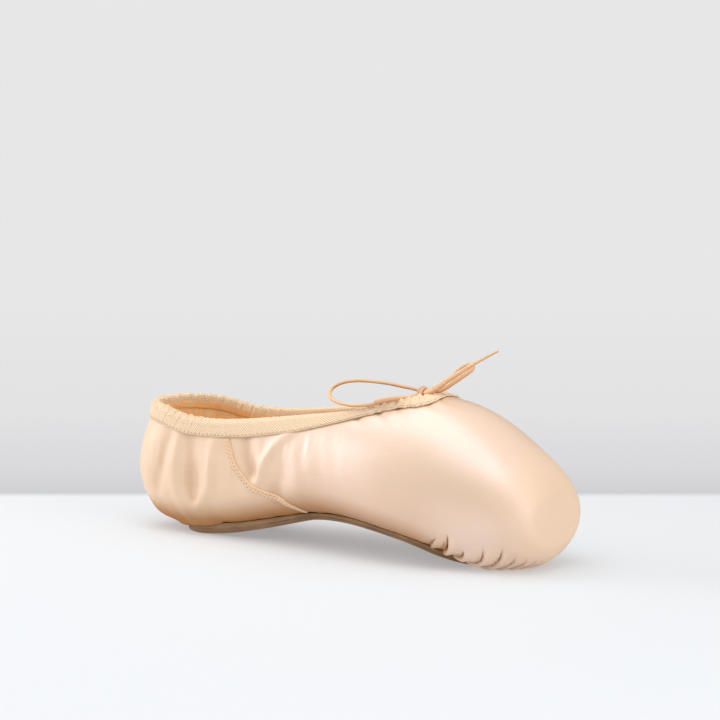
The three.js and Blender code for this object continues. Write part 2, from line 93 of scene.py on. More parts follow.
def make_camera():
    data = bpy.data.cameras.new("camera")
    data.sensor_width = SENSOR_WIDTH
    data.lens = FOCAL_PIXELS / PICTURE_PIXELS * SENSOR_WIDTH
    data.clip_start, data.clip_end = CAMERA_CLIPS
    camera = new_object("camera", data)
    back = Vector((
        math.sin(CAMERA_AZIMUTH) * math.cos(CAMERA_ELEVATION),
        -math.cos(CAMERA_AZIMUTH) * math.cos(CAMERA_ELEVATION),
        math.sin(CAMERA_ELEVATION),
    ))
    camera.location = Vector(metres(CAMERA_TARGET)) + back * CAMERA_DISTANCE * MM
    camera.rotation_mode = "QUATERNION"
    camera.rotation_quaternion = back.to_track_quat("Z", "Y")
    bpy.context.scene.camera = camera


# Each material's darker and lighter tone, as linear red, green and blue
TONES = {
    "twill": ((0.87, 0.56, 0.31, 1), (1.0, 0.74, 0.485, 1)),
    "lining": ((1.0, 0.62, 0.29, 1), (1.0, 0.78, 0.48, 1)),
    "board": ((0.70, 0.44, 0.23, 1), (0.80, 0.54, 0.31, 1)),
    "elastic": ((0.73, 0.45, 0.25, 1), (0.87, 0.58, 0.345, 1)),
    "thread": ((0.80, 0.56, 0.36, 1), (0.92, 0.72, 0.52, 1)),
    "sole_edge": ((0.28, 0.165, 0.08, 1), (0.42, 0.265, 0.135, 1)),
    "sole_leather": ((0.23, 0.12, 0.06, 1), (0.34, 0.19, 0.10, 1)),
}
TWILL_FIBRE = (0.98, 0.85, 0.64, 1)
TWILL_HOLE = (0.34, 0.21, 0.11, 1)
LINING_FIBRE = (1.0, 0.74, 0.45, 1)
# The tone of the shade painted on the elastic's underside
ELASTIC_SHADE_TONE = (0.56, 0.38, 0.26, 1)
# The satin's darker tone, what its lighter one is of that, and the tone of the shade painted on it under the
# shoe, in creases and in tucks
SATIN_TONE = np.array([0.825, 0.58, 0.375])
SATIN_LIGHTER = np.array([1.03, 1.04, 1.07])
PAINTED_SHADE_TONE = (0.57, 0.36, 0.20, 1)
SEAM_WARMTH = 0.03
SEAM_HOLE = (0.30, 0.16, 0.09, 1)
# Along the cloth from the heel, in millimetres: where the quarters give way to the vamp, and the toe's edge
VAMP_RUN = (85.0, 160.0)
TIP_RUN = (235.0, 252.0)
# The values between which a noise is read, and the shares of a needle hole's size between which it fades
NOISE_SPAN = (0.3, 0.7)
HOLE_EDGE = (0.6, 1.3)
RIB_PITCH = 1.0
RIB_SLANT = math.radians(-48)
# The share of the elastic's way round at which it faces down, where its painted shade is darkest
ELASTIC_LOW = 0.75


# Shader graphs are written as short chains of calls on one material
class Finish:
    """A material with its shader; add() makes a node and links its inputs by name or number."""

    def __init__(self, name, **constants):
        self.material = bpy.data.materials.new(name)
        self.material.use_nodes = True
        self.tree = self.material.node_tree
        self.shader = self.tree.nodes["Principled BSDF"]
        self.set(**constants)

    def set(self, **sockets):
        for socket, value in sockets.items():
            self.give(self.shader.inputs[socket.replace("_", " ")], value)
        return self

    def add(self, kind, inputs=None, **settings):
        node = self.tree.nodes.new("ShaderNode" + kind)
        for setting, value in settings.items():
            setattr(node, setting, value)
        for socket, value in (inputs or {}).items():
            self.give(node.inputs[socket], value)
        return node

    def give(self, socket, value):
        if isinstance(value, bpy.types.Node):
            value = value.outputs[0]
        if isinstance(value, bpy.types.NodeSocket):
            self.tree.links.new(value, socket)
        else:
            socket.default_value = value

    def cloth(self, along=1.0, across=1.0, turn=0.0):
        """The cloth's own millimetres, stretched along and across its threads."""
        place = self.add("UVMap", uv_map="cloth")
        return self.add("Mapping", {"Vector": place, "Scale": (along, across, 1), "Rotation": (0, 0, turn)})

    def places(self, turn=0.0):
        """How far a place is along the threads and across them."""
        return self.add("SeparateXYZ", {0: self.cloth(turn=turn)}).outputs[:2]

    def noise(self, along, across, detail=2.0, roughness=0.5):
        """Noise with so many grains to the millimetre along the threads and across them."""
        inputs = {"Vector": self.cloth(along, across), "Scale": 1.0, "Detail": detail, "Roughness": roughness}
        return self.add("TexNoise", inputs)

    def maths(self, operation, first, second=0.0):
        return self.add("Math", {0: first, 1: second}, operation=operation)

    def plus(self, first, second):
        return self.maths("ADD", first, second)

    def minus(self, first, second):
        return self.maths("SUBTRACT", first, second)

    def times(self, first, second):
        return self.maths("MULTIPLY", first, second)

    def spread(self, value, low, high, to_low=0.0, to_high=1.0):
        inputs = {"Value": value, "From Min": low, "From Max": high, "To Min": to_low, "To Max": to_high}
        return self.add("MapRange", inputs)

    def mix(self, share, first, second, blend="MIX"):
        node = self.add("Mix", data_type="RGBA", blend_type=blend)
        self.give(node.inputs["Factor"], share)
        self.give(node.inputs["A"], first)
        self.give(node.inputs["B"], second)
        colours = [socket for socket in node.outputs if socket.type == "RGBA"]
        return colours[0]

    def tinted(self, tone, tint):
        return self.mix(1.0, tone, tint, "MULTIPLY")

    def mottled(self, noise, dark, light):
        return self.mix(self.spread(noise, *NOISE_SPAN), dark, light)

    def bump(self, height, depth, normal=None):
        node = self.add("Bump", {"Height": height, "Strength": 1.0, "Distance": depth * MM})
        if normal is not None:
            self.give(node.inputs["Normal"], normal)
        return node

    def holes(self, pitch, row, size, phase=0.0):
        """A share that is 1 inside round needle holes, spaced along one row of the cloth."""
        run, down = self.places()
        count = self.maths("DIVIDE", self.plus(run, phase + pitch / 2), pitch)
        along = self.times(self.minus(self.maths("FRACT", count), 0.5), pitch)
        away = self.minus(down, row)
        square = self.plus(self.times(along, along), self.times(away, away))
        inside, outside = (size * share for share in HOLE_EDGE)
        return self.spread(self.maths("SQRT", square), inside, outside, 1.0, 0.0)


def satin_finish(name="satin", warmth=0.0):
    """Woven satin: long glossy threads along the shoe, which fade at the platform; warmth takes out blue."""
    finish = Finish(name, IOR=2.1, Specular_Tint=(1, 0.88, 1, 1), Anisotropic_Rotation=0.25)
    taken = np.array([0.0, 1.0, 1.4]) * warmth
    threads = finish.noise(0.03, 1.15, 3.0, 0.6)
    tone = finish.mottled(
        finish.noise(0.02, 0.05), (*(SATIN_TONE - taken), 1), (*(SATIN_TONE * SATIN_LIGHTER - taken), 1),
    )
    lined = finish.tinted(tone, finish.spread(threads, *NOISE_SPAN, 0.975, 1.015))
    # Shade is painted into the satin's colour under the shoe, in creases and in tucks, and it dims the gloss
    # there too
    painted_shading = finish.add("Attribute", attribute_name="dull").outputs["Fac"]
    shade = finish.mix(painted_shading, lined, finish.tinted(lined, PAINTED_SHADE_TONE))
    along = finish.places()[0]
    at_tip = finish.spread(along, *TIP_RUN)
    before_tip = finish.minus(1.0, at_tip)
    fine = finish.bump(finish.times(threads, before_tip), 0.03)
    soft = finish.bump(finish.noise(0.10, 0.14, 3.0), 0.10, fine)
    at_vamp = finish.spread(along, *VAMP_RUN, 0.35, 0.95)
    dimmed = finish.times(at_vamp, finish.spread(painted_shading, 0.0, 0.8, 1.0, 0.05))
    return finish.set(
        Base_Color=shade, Normal=soft,
        Tangent=finish.add("Tangent", direction_type="UV_MAP", uv_map="cloth"),
        Anisotropic=finish.times(before_tip, 0.4),
        Specular_IOR_Level=finish.times(dimmed, finish.spread(at_tip, 0.0, 1.0, 1.0, 0.6)),
        Roughness=finish.plus(finish.spread(along, *VAMP_RUN, 0.54, 0.35), finish.times(at_tip, 0.2)),
    )


def seam_finish():
    """The lapped satin of the side seam, with needle holes beside its two rows of stitches."""
    finish = satin_finish("seam_satin", SEAM_WARMTH)
    tone = finish.shader.inputs["Base Color"].links[0].from_socket
    for row, phase in zip(SEAM_HOLES, (0.0, SEAM_PITCH / 2)):
        tone = finish.mix(finish.holes(SEAM_PITCH, row, 0.28, phase), tone, SEAM_HOLE)
    return finish.set(Base_Color=tone)


def twill_finish(pitch):
    """Ribbed tape with slanting ribs, shade painted in their grooves, and needle holes along its sewn edge.
    """
    finish = Finish("twill", Roughness=0.8, Sheen_Weight=0.3, Sheen_Roughness=0.5, Specular_IOR_Level=0.3)
    phase = finish.times(finish.places(RIB_SLANT)[0], 2 * math.pi / RIB_PITCH)
    wobble = finish.spread(finish.noise(0.6, 0.6), 0.0, 1.0, -1.4, 1.4)
    rib = finish.maths("SINE", finish.plus(phase, wobble))
    fibres = finish.noise(3.2, 3.2, 3.0)
    # The ribs' grooves take the darker tone as painted shade
    colour = finish.mix(finish.spread(rib, -1.0, 0.2), *TONES["twill"])
    speck = finish.mix(finish.spread(fibres, 0.35, 0.75, 0.0, 0.5), colour, TWILL_FIBRE)
    sewn = finish.mix(finish.holes(pitch, BINDING_ROW, 0.3), speck, TWILL_HOLE)
    return finish.set(Base_Color=sewn, Normal=finish.bump(rib, 0.14, finish.bump(fibres, 0.06)))


def lining_finish():
    finish = Finish("lining", Roughness=0.9, Sheen_Weight=0.15, Specular_IOR_Level=0.2)
    weave = finish.noise(2.2, 2.2, 3.0)
    wrinkle = finish.noise(0.16, 0.05, 3.0, 0.6)
    # The lining's colour darkens in the troughs of its wrinkles, as painted shade
    colour = finish.mottled(wrinkle, *TONES["lining"])
    speck = finish.mix(finish.spread(weave, 0.35, 0.7, 0.0, 0.3), colour, LINING_FIBRE)
    return finish.set(Base_Color=speck, Normal=finish.bump(wrinkle, 0.8, finish.bump(weave, 0.08)))


def leather_finish(name):
    finish = Finish(name, Roughness=0.6, Specular_IOR_Level=0.4)
    grain = finish.add("TexVoronoi", {"Vector": finish.cloth(), "Scale": 1.6}, feature="DISTANCE_TO_EDGE")
    layers = finish.noise(0.12, 4.5)
    colour = finish.mottled(finish.noise(0.07, 0.07, 3.0), *TONES[name])
    shade = finish.tinted(colour, finish.spread(layers, *NOISE_SPAN, 0.78, 1.15))
    bump = finish.bump(finish.spread(grain, 0.0, 0.25), 0.05, finish.bump(layers, 0.08))
    return finish.set(Base_Color=shade, Normal=bump)


def board_finish():
    finish = Finish("board", Roughness=0.88, Sheen_Weight=0.15, Specular_IOR_Level=0.2)
    weave = finish.noise(2.4, 2.4, 3.0)
    colour = finish.mottled(finish.noise(0.05, 0.08), *TONES["board"])
    return finish.set(Base_Color=colour, Normal=finish.bump(weave, 0.06))


def elastic_finish():
    """Round elastic: fine threads that run along it, with shade painted on its underside."""
    finish = Finish("elastic", Roughness=0.62, Sheen_Weight=0.2, Specular_IOR_Level=0.4)
    threads = finish.noise(0.05, 0.9)
    colour = finish.mottled(threads, *TONES["elastic"])
    # Shade is painted along the elastic's underside
    away = finish.maths("ABSOLUTE", finish.minus(finish.places()[1], ELASTIC_LOW * math.pi * CORD))
    beneath = finish.spread(away, 0.3, 1.8, 0.85, 0.0)
    shade = finish.mix(beneath, colour, finish.tinted(colour, ELASTIC_SHADE_TONE))
    return finish.set(Base_Color=shade, Normal=finish.bump(threads, 0.02))


def thread_finish():
    finish = Finish("thread", Roughness=0.5, Sheen_Weight=0.3)
    twist = finish.noise(3.0, 1.0)
    return finish.set(Base_Color=finish.mix(twist, *TONES["thread"]), Normal=finish.bump(twist, 0.03))


# Steps between two places of a route before it is spaced evenly
ROUTE_STEPS = 25


# Helpers for numbers and lines of points
def smooth_step(low, high, value):
    share = np.clip((value - low) / (high - low), 0, 1)
    return share * share * (3 - 2 * share)


def hump(value, middle, spread):
    """A bell curve that is 1 at its middle."""
    return np.exp(-((value - middle) / spread) ** 2)


def unit(vectors):
    return vectors / np.linalg.norm(vectors, axis=-1, keepdims=True)


def length_along(line):
    """How far along a line each of its points lies."""
    return np.concatenate([[0], np.cumsum(np.linalg.norm(np.diff(line, axis=0), axis=1))])


def pairs(first, second):
    """Every value of the first list with every value of the second, one pair to a row."""
    return np.stack(np.meshgrid(first, second, indexing="ij"), axis=-1).reshape(-1, 2)


def steps_between(places, counts):
    steps = [np.array([places[0]], float)]
    for start, end, count in zip(places, places[1:], counts):
        steps.append(start + (end - start) * np.arange(1, count + 1) / count)
    return np.concatenate(steps)


def curve_through(places, values):
    """A natural cubic spline."""
    places = np.asarray(places, float)
    values = np.asarray(values, float)
    count = len(places)
    step = np.diff(places)
    matrix = np.eye(count)
    right = np.zeros(count)
    for i in range(1, count - 1):
        matrix[i, i - 1:i + 2] = step[i - 1], 2 * (step[i - 1] + step[i]), step[i]
        right[i] = 6 * ((values[i + 1] - values[i]) / step[i] - (values[i] - values[i - 1]) / step[i - 1])
    bend = np.linalg.solve(matrix, right)

    def value_at(place):
        place = np.asarray(place, float)
        i = np.clip(np.searchsorted(places, place) - 1, 0, count - 2)
        a = (places[i + 1] - place) / step[i]
        b = 1 - a
        lift = ((a ** 3 - a) * bend[i] + (b ** 3 - b) * bend[i + 1]) * step[i] ** 2 / 6
        return a * values[i] + b * values[i + 1] + lift

    return value_at


def smooth_route(places, count):
    """A centripetal curve through given places, as evenly spaced points."""
    places = np.asarray(places, float)
    padded = np.vstack([2 * places[0] - places[1], places, 2 * places[-1] - places[-2]])
    found = [places[:1]]
    for corners in zip(padded, padded[1:], padded[2:], padded[3:]):
        apart = [np.sqrt(np.linalg.norm(b - a)) for a, b in zip(corners, corners[1:])]
        k0, k1, k2, k3 = np.cumsum([0, *apart])
        t = np.linspace(k1, k2, ROUTE_STEPS)[1:, None]

        def between(a, b, start, end):
            return a + (b - a) * (t - start) / (end - start)

        p0, p1, p2, p3 = corners
        middle = between(p1, p2, k1, k2)
        first = between(between(p0, p1, k0, k1), middle, k0, k2)
        second = between(middle, between(p2, p3, k2, k3), k1, k3)
        found.append(between(first, second, k1, k2))
    line = np.vstack(found)
    run = length_along(line)
    even = np.linspace(0, run[-1], count)
    return np.stack([np.interp(even, run, line[:, k]) for k in range(line.shape[1])], axis=1)


# Meshes are made from points in millimetres, with the cloth's own millimetres beside each point
WELD = 1e-4
# The heel leans forward: how far along the shoe this reaches, what moves its rim and the satin low down, and
# the heights where the rim's part grows and the low part's middle and spread
HEEL_PULL = {"reach": 60.0, "rim": 2.6, "rim_grows": (34, 60), "low": 2.4, "low_at": (15.5, 9.0)}


def grid_faces(rows, columns, first=0, flip=False):
    """Faces of a grid whose points are numbered row by row."""
    row, column = np.meshgrid(np.arange(rows - 1), np.arange(columns - 1), indexing="ij")
    corner = (first + row * columns + column).ravel()
    faces = np.stack([corner, corner + columns, corner + columns + 1, corner + 1], axis=1)
    return faces[:, ::-1] if flip else faces


def drawn_in(points):
    """The drawstring leans the heel's rim forward, and the sole draws in the satin under the heel."""
    back = 1 - smooth_step(0, HEEL_PULL["reach"], points[:, 0])
    rim = HEEL_PULL["rim"] * smooth_step(*HEEL_PULL["rim_grows"], points[:, 2])
    low = HEEL_PULL["low"] * hump(points[:, 2], *HEEL_PULL["low_at"])
    moved = points.copy()
    moved[:, 0] += back * (rim + low)
    return moved


def make_piece(name, points, faces, cloth, finishes, finish_numbers=None, sharp=None, dull=None):
    """A mesh whose points in one place are welded; the cloth's place stays with each face's corner."""
    keys = np.round(points / WELD).astype(np.int64)
    _, first, number = np.unique(keys, axis=0, return_index=True, return_inverse=True)
    number = number.ravel()
    kept_faces = []
    kept_corners = []
    kept_numbers = []
    for i, face in enumerate(faces):
        places = number[list(face)]
        keep = [k for k in range(len(face)) if places[k] != places[k - 1]]
        if len({places[k] for k in keep}) < 3:
            continue
        kept_faces.append([int(places[k]) for k in keep])
        kept_corners.extend(face[k] for k in keep)
        kept_numbers.append(0 if finish_numbers is None else int(finish_numbers[i]))
    mesh = bpy.data.meshes.new(name)
    mesh.from_pydata(metres(drawn_in(points[first])).tolist(), [], kept_faces)
    layer = mesh.uv_layers.new(name="cloth")
    layer.data.foreach_set("uv", np.asarray(cloth, np.float32)[kept_corners].ravel())
    mesh.polygons.foreach_set("material_index", np.asarray(kept_numbers, np.int32))
    # Each point keeps how much shade is painted on it, for the satin's finish
    if dull is not None:
        attribute = mesh.attributes.new("dull", "FLOAT", "POINT")
        attribute.data.foreach_set("value", np.asarray(dull, np.float32)[first])
    mesh.validate()
    mesh.shade_smooth()
    if sharp is not None:
        mesh.set_sharp_from_angle(angle=math.radians(sharp))
    for finish in finishes:
        mesh.materials.append(finish.material)
    return new_object(name, mesh)


def finished(piece, slot, *nodes):
    """Makes a piece ride on the shoe and stand for its nodes; the slot is not used."""
    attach(piece, "root")
    if nodes:
        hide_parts(*nodes)
    return piece


# The last's sections: at is a share of the length, half one of the ball's half-width, widest and ridge are
# shares of the instep's height, and bottom is in millimetres
LAST_COLUMNS = ("at", "bottom", "half", "widest", "ridge", "low_round", "top_round")
LAST_SCALES = (LENGTH, 1.0, BALL_WIDTH / 2, INSTEP_HEIGHT, INSTEP_HEIGHT, 1.0, 1.0)
LAST = [
    (0.178, 3.1, 0.763, 0.367, 1.227, 3.0, 2.0),
    (0.254, 4.6, 0.763, 0.387, 1.21, 2.8, 2.0),
    (0.36, 9.6, 0.776, 0.42, 1.12, 2.6, 2.0),
    (0.466, 15.2, 0.829, 0.447, 1.03, 2.6, 2.0),
    (0.572, 15.6, 0.908, 0.433, 1.0, 2.6, 2.0),
    (0.657, 13.0, 0.974, 0.393, 0.995, 2.6, 2.0),
    (0.742, 9.4, 1.0, 0.353, 0.995, 2.6, 2.0),
    (0.826, 3.2, 0.948, 0.328, 0.928, 2.5, 2.1),
    (0.89, -1.0, 0.844, 0.324, 0.822, 2.4, 2.12),
    (TIP_X / LENGTH, 0.9, 0.761, 0.323, 0.691, 1.95, 2.22),
]
# The collar's height along the shoe, the outsole's plan and thickness, and the opening that it closes
COLLAR = [(0, 61.7), (14, 60.4), (30, 58.1), (57, 56.3), (85, 58.7), (115, 62.8), (145, 68.0)]
SOLE_BACK = 26.0
SOLE_FRONT = 201.0
SOLE_END_ROUND = 20.0
SOLE_COLUMNS = ("at", "half_width", "thick", "crown")
SOLE = [
    (26, 16.5, 3.0, 0.0),
    (60, 18.0, 3.0, 0.4),
    (95, 16.2, 3.0, 1.0),
    (130, 19.0, 2.8, 1.3),
    (160, 23.0, 2.4, 1.6),
    (180, 24.0, 2.2, 1.4),
    (201, 21.5, 1.2, 0.4),
]
OPENING_BACK = 34.0
OPENING_FRONT = 190.0
OPENING_END_ROUND = 18.0
OPENING_MARGIN = 6.5


def column(rows, names, name, place_scale=1.0, value_scale=1.0):
    k = names.index(name)
    return curve_through([row[0] * place_scale for row in rows], [row[k] * value_scale for row in rows])


ALONG = {
    name: column(LAST, LAST_COLUMNS, name, LENGTH, scale)
    for name, scale in list(zip(LAST_COLUMNS, LAST_SCALES))[1:]
}
THROAT_HEIGHT = float(ALONG["ridge"](THROAT_X))
collar_height = curve_through(*zip(*COLLAR, (THROAT_X, THROAT_HEIGHT)))
sole_width = column(SOLE, SOLE_COLUMNS, "half_width")
sole_thick = column(SOLE, SOLE_COLUMNS, "thick")
sole_crown = column(SOLE, SOLE_COLUMNS, "crown")


def edge_turn(station):
    return np.clip(station - 1, 0, 1) * math.pi / 2


def x_of_station(station):
    return HEEL_X + np.minimum(station, 1) * (TIP_X - HEEL_X) + PLATFORM_ROUND * np.sin(edge_turn(station))


def station_of_x(x):
    return (np.asarray(x, float) - HEEL_X) / (TIP_X - HEEL_X)


def heel_turn(station):
    turn = math.pi / 2 * (1 - np.minimum(station, 0))
    across = (np.abs(np.sin(turn)) / ALONG["half"](HEEL_X)) ** HEEL_PLAN_ROUND
    back = (np.abs(np.cos(turn)) / HEEL_X) ** HEEL_PLAN_ROUND
    return turn, (across + back) ** (-1 / HEEL_PLAN_ROUND)


def section_of_station(station):
    """The last's cross-section; past the tip its sizes carry on with their slope there."""
    x = np.maximum(x_of_station(station), HEEL_X)
    at = np.minimum(x, TIP_X)
    back = 0.5
    section = {}
    for name, along in ALONG.items():
        slope = 0.0 if "round" in name else float(along(TIP_X) - along(TIP_X - back)) / back
        section[name] = along(at) + slope * (x - at)
    inset = PLATFORM_INSET * (1 - np.cos(edge_turn(station)))
    section["half"] = section["half"] - inset
    section["ridge"] = section["ridge"] - inset
    section["bottom"] = section["bottom"] + inset
    backness = np.cos(heel_turn(station)[0]) ** 2
    section["low_round"] = section["low_round"] + (HEEL_BACK_ROUND - section["low_round"]) * backness
    return section


def surface(station, angle):
    """Points of the last's left side; angle 0 is the ridge line, 90 degrees the widest, 180 the bottom."""
    station, angle = np.broadcast_arrays(np.asarray(station, float), np.asarray(angle, float))
    section = section_of_station(station)
    sine = np.sin(angle)
    cosine = np.cos(angle)
    rounding = np.where(cosine >= 0, section["top_round"], section["low_round"])
    across = np.sign(sine) * np.abs(sine) ** (2 / rounding)
    rise = np.abs(cosine) ** (2 / rounding)
    end = np.where(cosine >= 0, section["ridge"], section["bottom"])
    height = section["widest"] + (end - section["widest"]) * rise
    shrink = np.where(station > 2, 3 - station, 1)
    middle = (section["ridge"] + section["bottom"]) / 2
    height = np.maximum(middle + (height - middle) * shrink, 0)
    turn, reach = heel_turn(station)
    behind = station < 0
    x = np.where(behind, HEEL_X + reach * across * np.cos(turn), x_of_station(station))
    y = np.where(behind, reach * across * np.sin(turn), section["half"] * across * shrink)
    return np.stack([x, y, height], axis=-1)


def surface_frame(station, angle):
    """How the surface runs along the shoe and down its side, and its outward normal."""
    small = 0.002
    along = (surface(station + small, angle) - surface(station - small, angle)) / (2 * small)
    down = (surface(station, angle + small) - surface(station, angle - small)) / (2 * small)
    normal = np.cross(along, down)
    normal[station + 0 * angle >= 2] = (1, 0, 0)
    length = np.linalg.norm(normal, axis=-1, keepdims=True)
    return along, down, normal / np.maximum(length, 1e-9)


def collar_angle(station):
    station = np.asarray(station, float)
    section = section_of_station(station)
    place = np.where(station < 0, HEEL_X * (1 + np.cos(heel_turn(station)[0])), x_of_station(station))
    height = collar_height(np.minimum(place, THROAT_X))
    share = np.clip((height - section["widest"]) / (section["ridge"] - section["widest"]), 0, 1)
    return np.where(station >= station_of_x(THROAT_X), 0, np.arccos(share ** (section["top_round"] / 2)))


def angle_under(section, share):
    return math.pi - np.arcsin(np.clip(share, 0, 1) ** (section["low_round"] / 2))


def opening_angle(station):
    """The edge of the opening that the outsole closes."""
    station = np.asarray(station, float)
    section = section_of_station(station)
    x = x_of_station(station)
    past = np.clip((x - OPENING_FRONT + OPENING_END_ROUND) / OPENING_END_ROUND, 0, 1)
    half = (sole_width(np.clip(x, SOLE_BACK, SOLE_FRONT)) - OPENING_MARGIN) * np.sqrt(1 - past ** 2)
    turn, reach = heel_turn(station)
    heel_half = sole_width(HEEL_X) - OPENING_MARGIN
    heel_reach = 1 / np.hypot(np.sin(turn) / heel_half, np.cos(turn) / (HEEL_X - OPENING_BACK))
    share = np.where(station < 0, heel_reach / reach, half / section["half"])
    return np.where(station >= station_of_x(OPENING_FRONT), math.pi, angle_under(section, share))


def wall_at(station):
    stiffness = smooth_step(BOX_WALL_FROM, BOX_WALL_FULL, x_of_station(station))
    return QUARTER_WALL + (BOX_WALL - QUARTER_WALL) * stiffness


WIDEST_STATIONS = np.linspace(-1, 2, 1200)
WIDEST_X = surface(WIDEST_STATIONS, math.pi / 2)[:, 0]


def station_at(x):
    """The place along the last of a distance from the heel, taken on the widest line."""
    return np.interp(x, WIDEST_X, WIDEST_STATIONS)


def sided(points, side):
    return points * np.array([1.0, side, 1.0])


# Soft troughs and ridges of the satin, each a row of side, width, depths and route. A route's
# places are millimetres from the heel and degrees down from the ridge line; the depths are millimetres at its
# first and last place, below zero inwards
HEEL_CORNER = [(0.2, 118), (4, 119), (15, 121), (28, 124)]
CREASES = [
    # The quarter's dent behind the side seam, which ends in a pit, and the ridges beside it
    (RIGHT, 4.8, (-0.8, -1.3), [(45, 70), (46, 80), (47, 92)]),
    (RIGHT, 3.8, (-0.8, -1.7), [(46.5, 88), (47, 96), (47.5, 104)]),
    (RIGHT, 3.8, (0.9, 1.0), [(60, 74), (58, 88), (54, 103), (48, 113)]),
    (RIGHT, 4.2, (0.6, 0.8), [(36, 72), (35, 86), (37, 100), (41, 111)]),
    (RIGHT, 4.4, (-1.0, -1.1), [(31, 73), (27, 84), (22, 94)]),
    (RIGHT, 5.0, (0.4, 0.4), [(17, 76), (13, 90), (13, 104)]),
    # The pocket ahead of the side seam and the ridge that climbs from it to the binding
    (RIGHT, 3.8, (-0.8, -1.9), [(80, 69), (81, 78), (84, 86)]),
    (RIGHT, 3.0, (1.2, 0.7), [(88, 90), (91, 82), (97, 71), (106, 59)]),
    (RIGHT, 5.5, (-1.5, 0.0), [(98, 104), (101, 90), (106, 74)]),
    (RIGHT, 7.5, (0.5, 0.1), [(111, 102), (116, 86), (122, 70)]),
    # The far side wrinkles in its own way
    (LEFT, 4.8, (-0.7, -1.4), [(41, 72), (43, 86), (45, 98)]),
    (LEFT, 4.0, (0.8, 0.9), [(53, 74), (52, 90), (50, 104)]),
    (LEFT, 4.4, (-0.8, -1.0), [(24, 76), (25, 88), (28, 97)]),
    (LEFT, 3.8, (-0.7, -1.4), [(86, 70), (84, 80), (86, 88)]),
    (LEFT, 3.4, (1.0, 0.6), [(89, 91), (95, 80), (104, 66)]),
    (LEFT, 5.0, (-0.8, -0.3), [(99, 94), (107, 80), (115, 66)]),
    # The heel's lower corner is drawn in
    (RIGHT, 8.0, (-1.4, -0.5), HEEL_CORNER),
    (LEFT, 8.0, (-1.4, -0.5), HEEL_CORNER),
    # The satin gathers in a roll above the heel of the sole
    (RIGHT, 1.6, (0.9, 0.6), [(40, 140), (47, 147), (56, 151)]),
    (LEFT, 1.6, (0.8, 0.6), [(38, 141), (47, 148), (58, 152)]),
    # Small pulls where the binding is sewn on at the throat
    (RIGHT, 1.2, (-0.6, 0.0), [(168, 14), (175, 19), (187, 21)]),
    (RIGHT, 1.1, (-0.6, 0.0), [(173, 6), (181, 9), (191, 9)]),
    (LEFT, 1.1, (-0.45, 0.0), [(171, 12), (178, 16), (187, 18)]),
    (RIGHT, 1.5, (-0.8, 0.0), [(159, 25), (163, 31), (169, 35)]),
    (RIGHT, 1.5, (-0.9, 0.0), [(150, 31), (154, 37), (160, 42)]),
    (RIGHT, 1.6, (-0.8, 0.0), [(140, 37), (143, 43), (149, 47)]),
    (LEFT, 1.6, (-0.5, 0.0), [(147, 34), (152, 39), (158, 43)]),
]

# The tucks where the satin is drawn in under the toe, each a row of depth, width and route
TUCKS = [
    (1.2, 0.8, [(182, 148), (186, 135), (190, 121), (195, 106)]),
    (2.3, 0.9, [(188, 148), (194, 133), (198, 117), (199.5, 99)]),
    (2.0, 0.9, [(191, 153), (198, 143), (203, 130), (205, 117)]),
    (1.6, 0.7, [(195, 157), (205, 146), (212, 130), (215, 112)]),
    (1.5, 0.7, [(200, 161), (211, 150), (219, 135), (223.5, 116)]),
    (0.9, 0.6, [(203, 165), (215, 157), (223, 145), (227, 130)]),
    (0.9, 0.6, [(203, 169), (217, 163), (226, 154), (230.5, 141)]),
    (0.8, 0.55, [(204, 174), (219, 170), (228, 164), (232.5, 153)]),
    (0.8, 0.55, [(204, 178), (220, 176), (229, 172), (233.5, 166)]),
]
# Across a tuck, in its own widths: the share of the depth, how far ahead of its line and how wide. It is a
# crevice, with the cloth puffed up ahead of it and a dip behind
TUCK_SECTION = [(-1.0, 0.0, 0.5), (0.55, 1.9, 1.6), (-0.25, -1.8, 1.5)]
TUCK_REACH = 7
# The tucks of the left side are shifted along the shoe by up to this much, each by its own share
TUCK_SHIFT = {RIGHT: 0.0, LEFT: 2.5}
TUCK_TURN = 2.4
# Where along its route a tuck deepens, where it fades, and the share that is left almost to its end
TUCK_GROWS = (0.0, 0.12)
TUCK_FADES = (0.55, 1.0)
TUCK_REST = 0.12
TUCK_REST_TO = 0.95
TUCK_END = 0.995


def route_on_last(route, count=48):
    """A route's points, with the surface's normal at each."""
    places = smooth_route(route, count)
    station = station_at(places[:, 0])
    angle = np.radians(places[:, 1])
    return surface(station, angle), surface_frame(station, angle)[2]


def nearest_on_route(points, line, reach):
    """For the points within reach of a line: which they are, how far off, and the line's nearest point."""
    low = line.min(axis=0) - reach
    high = line.max(axis=0) + reach
    near = np.flatnonzero(np.all((points > low) & (points < high), axis=1))
    if not len(near):
        return near, np.zeros(0), near
    apart = np.linalg.norm(points[near, None] - line[None], axis=2)
    k = apart.argmin(axis=1)
    return near, apart[np.arange(len(near)), k], k


def crease_relief(points, side):
    relief = np.zeros(len(points))
    for crease_side, width, (first, last), route in CREASES:
        if crease_side != side:
            continue
        line, _ = route_on_last(route)
        near, apart, k = nearest_on_route(points, line, 3 * width)
        depth = first + (last - first) * k / (len(line) - 1)
        relief[near] += depth * hump(apart, 0, width)
    return relief


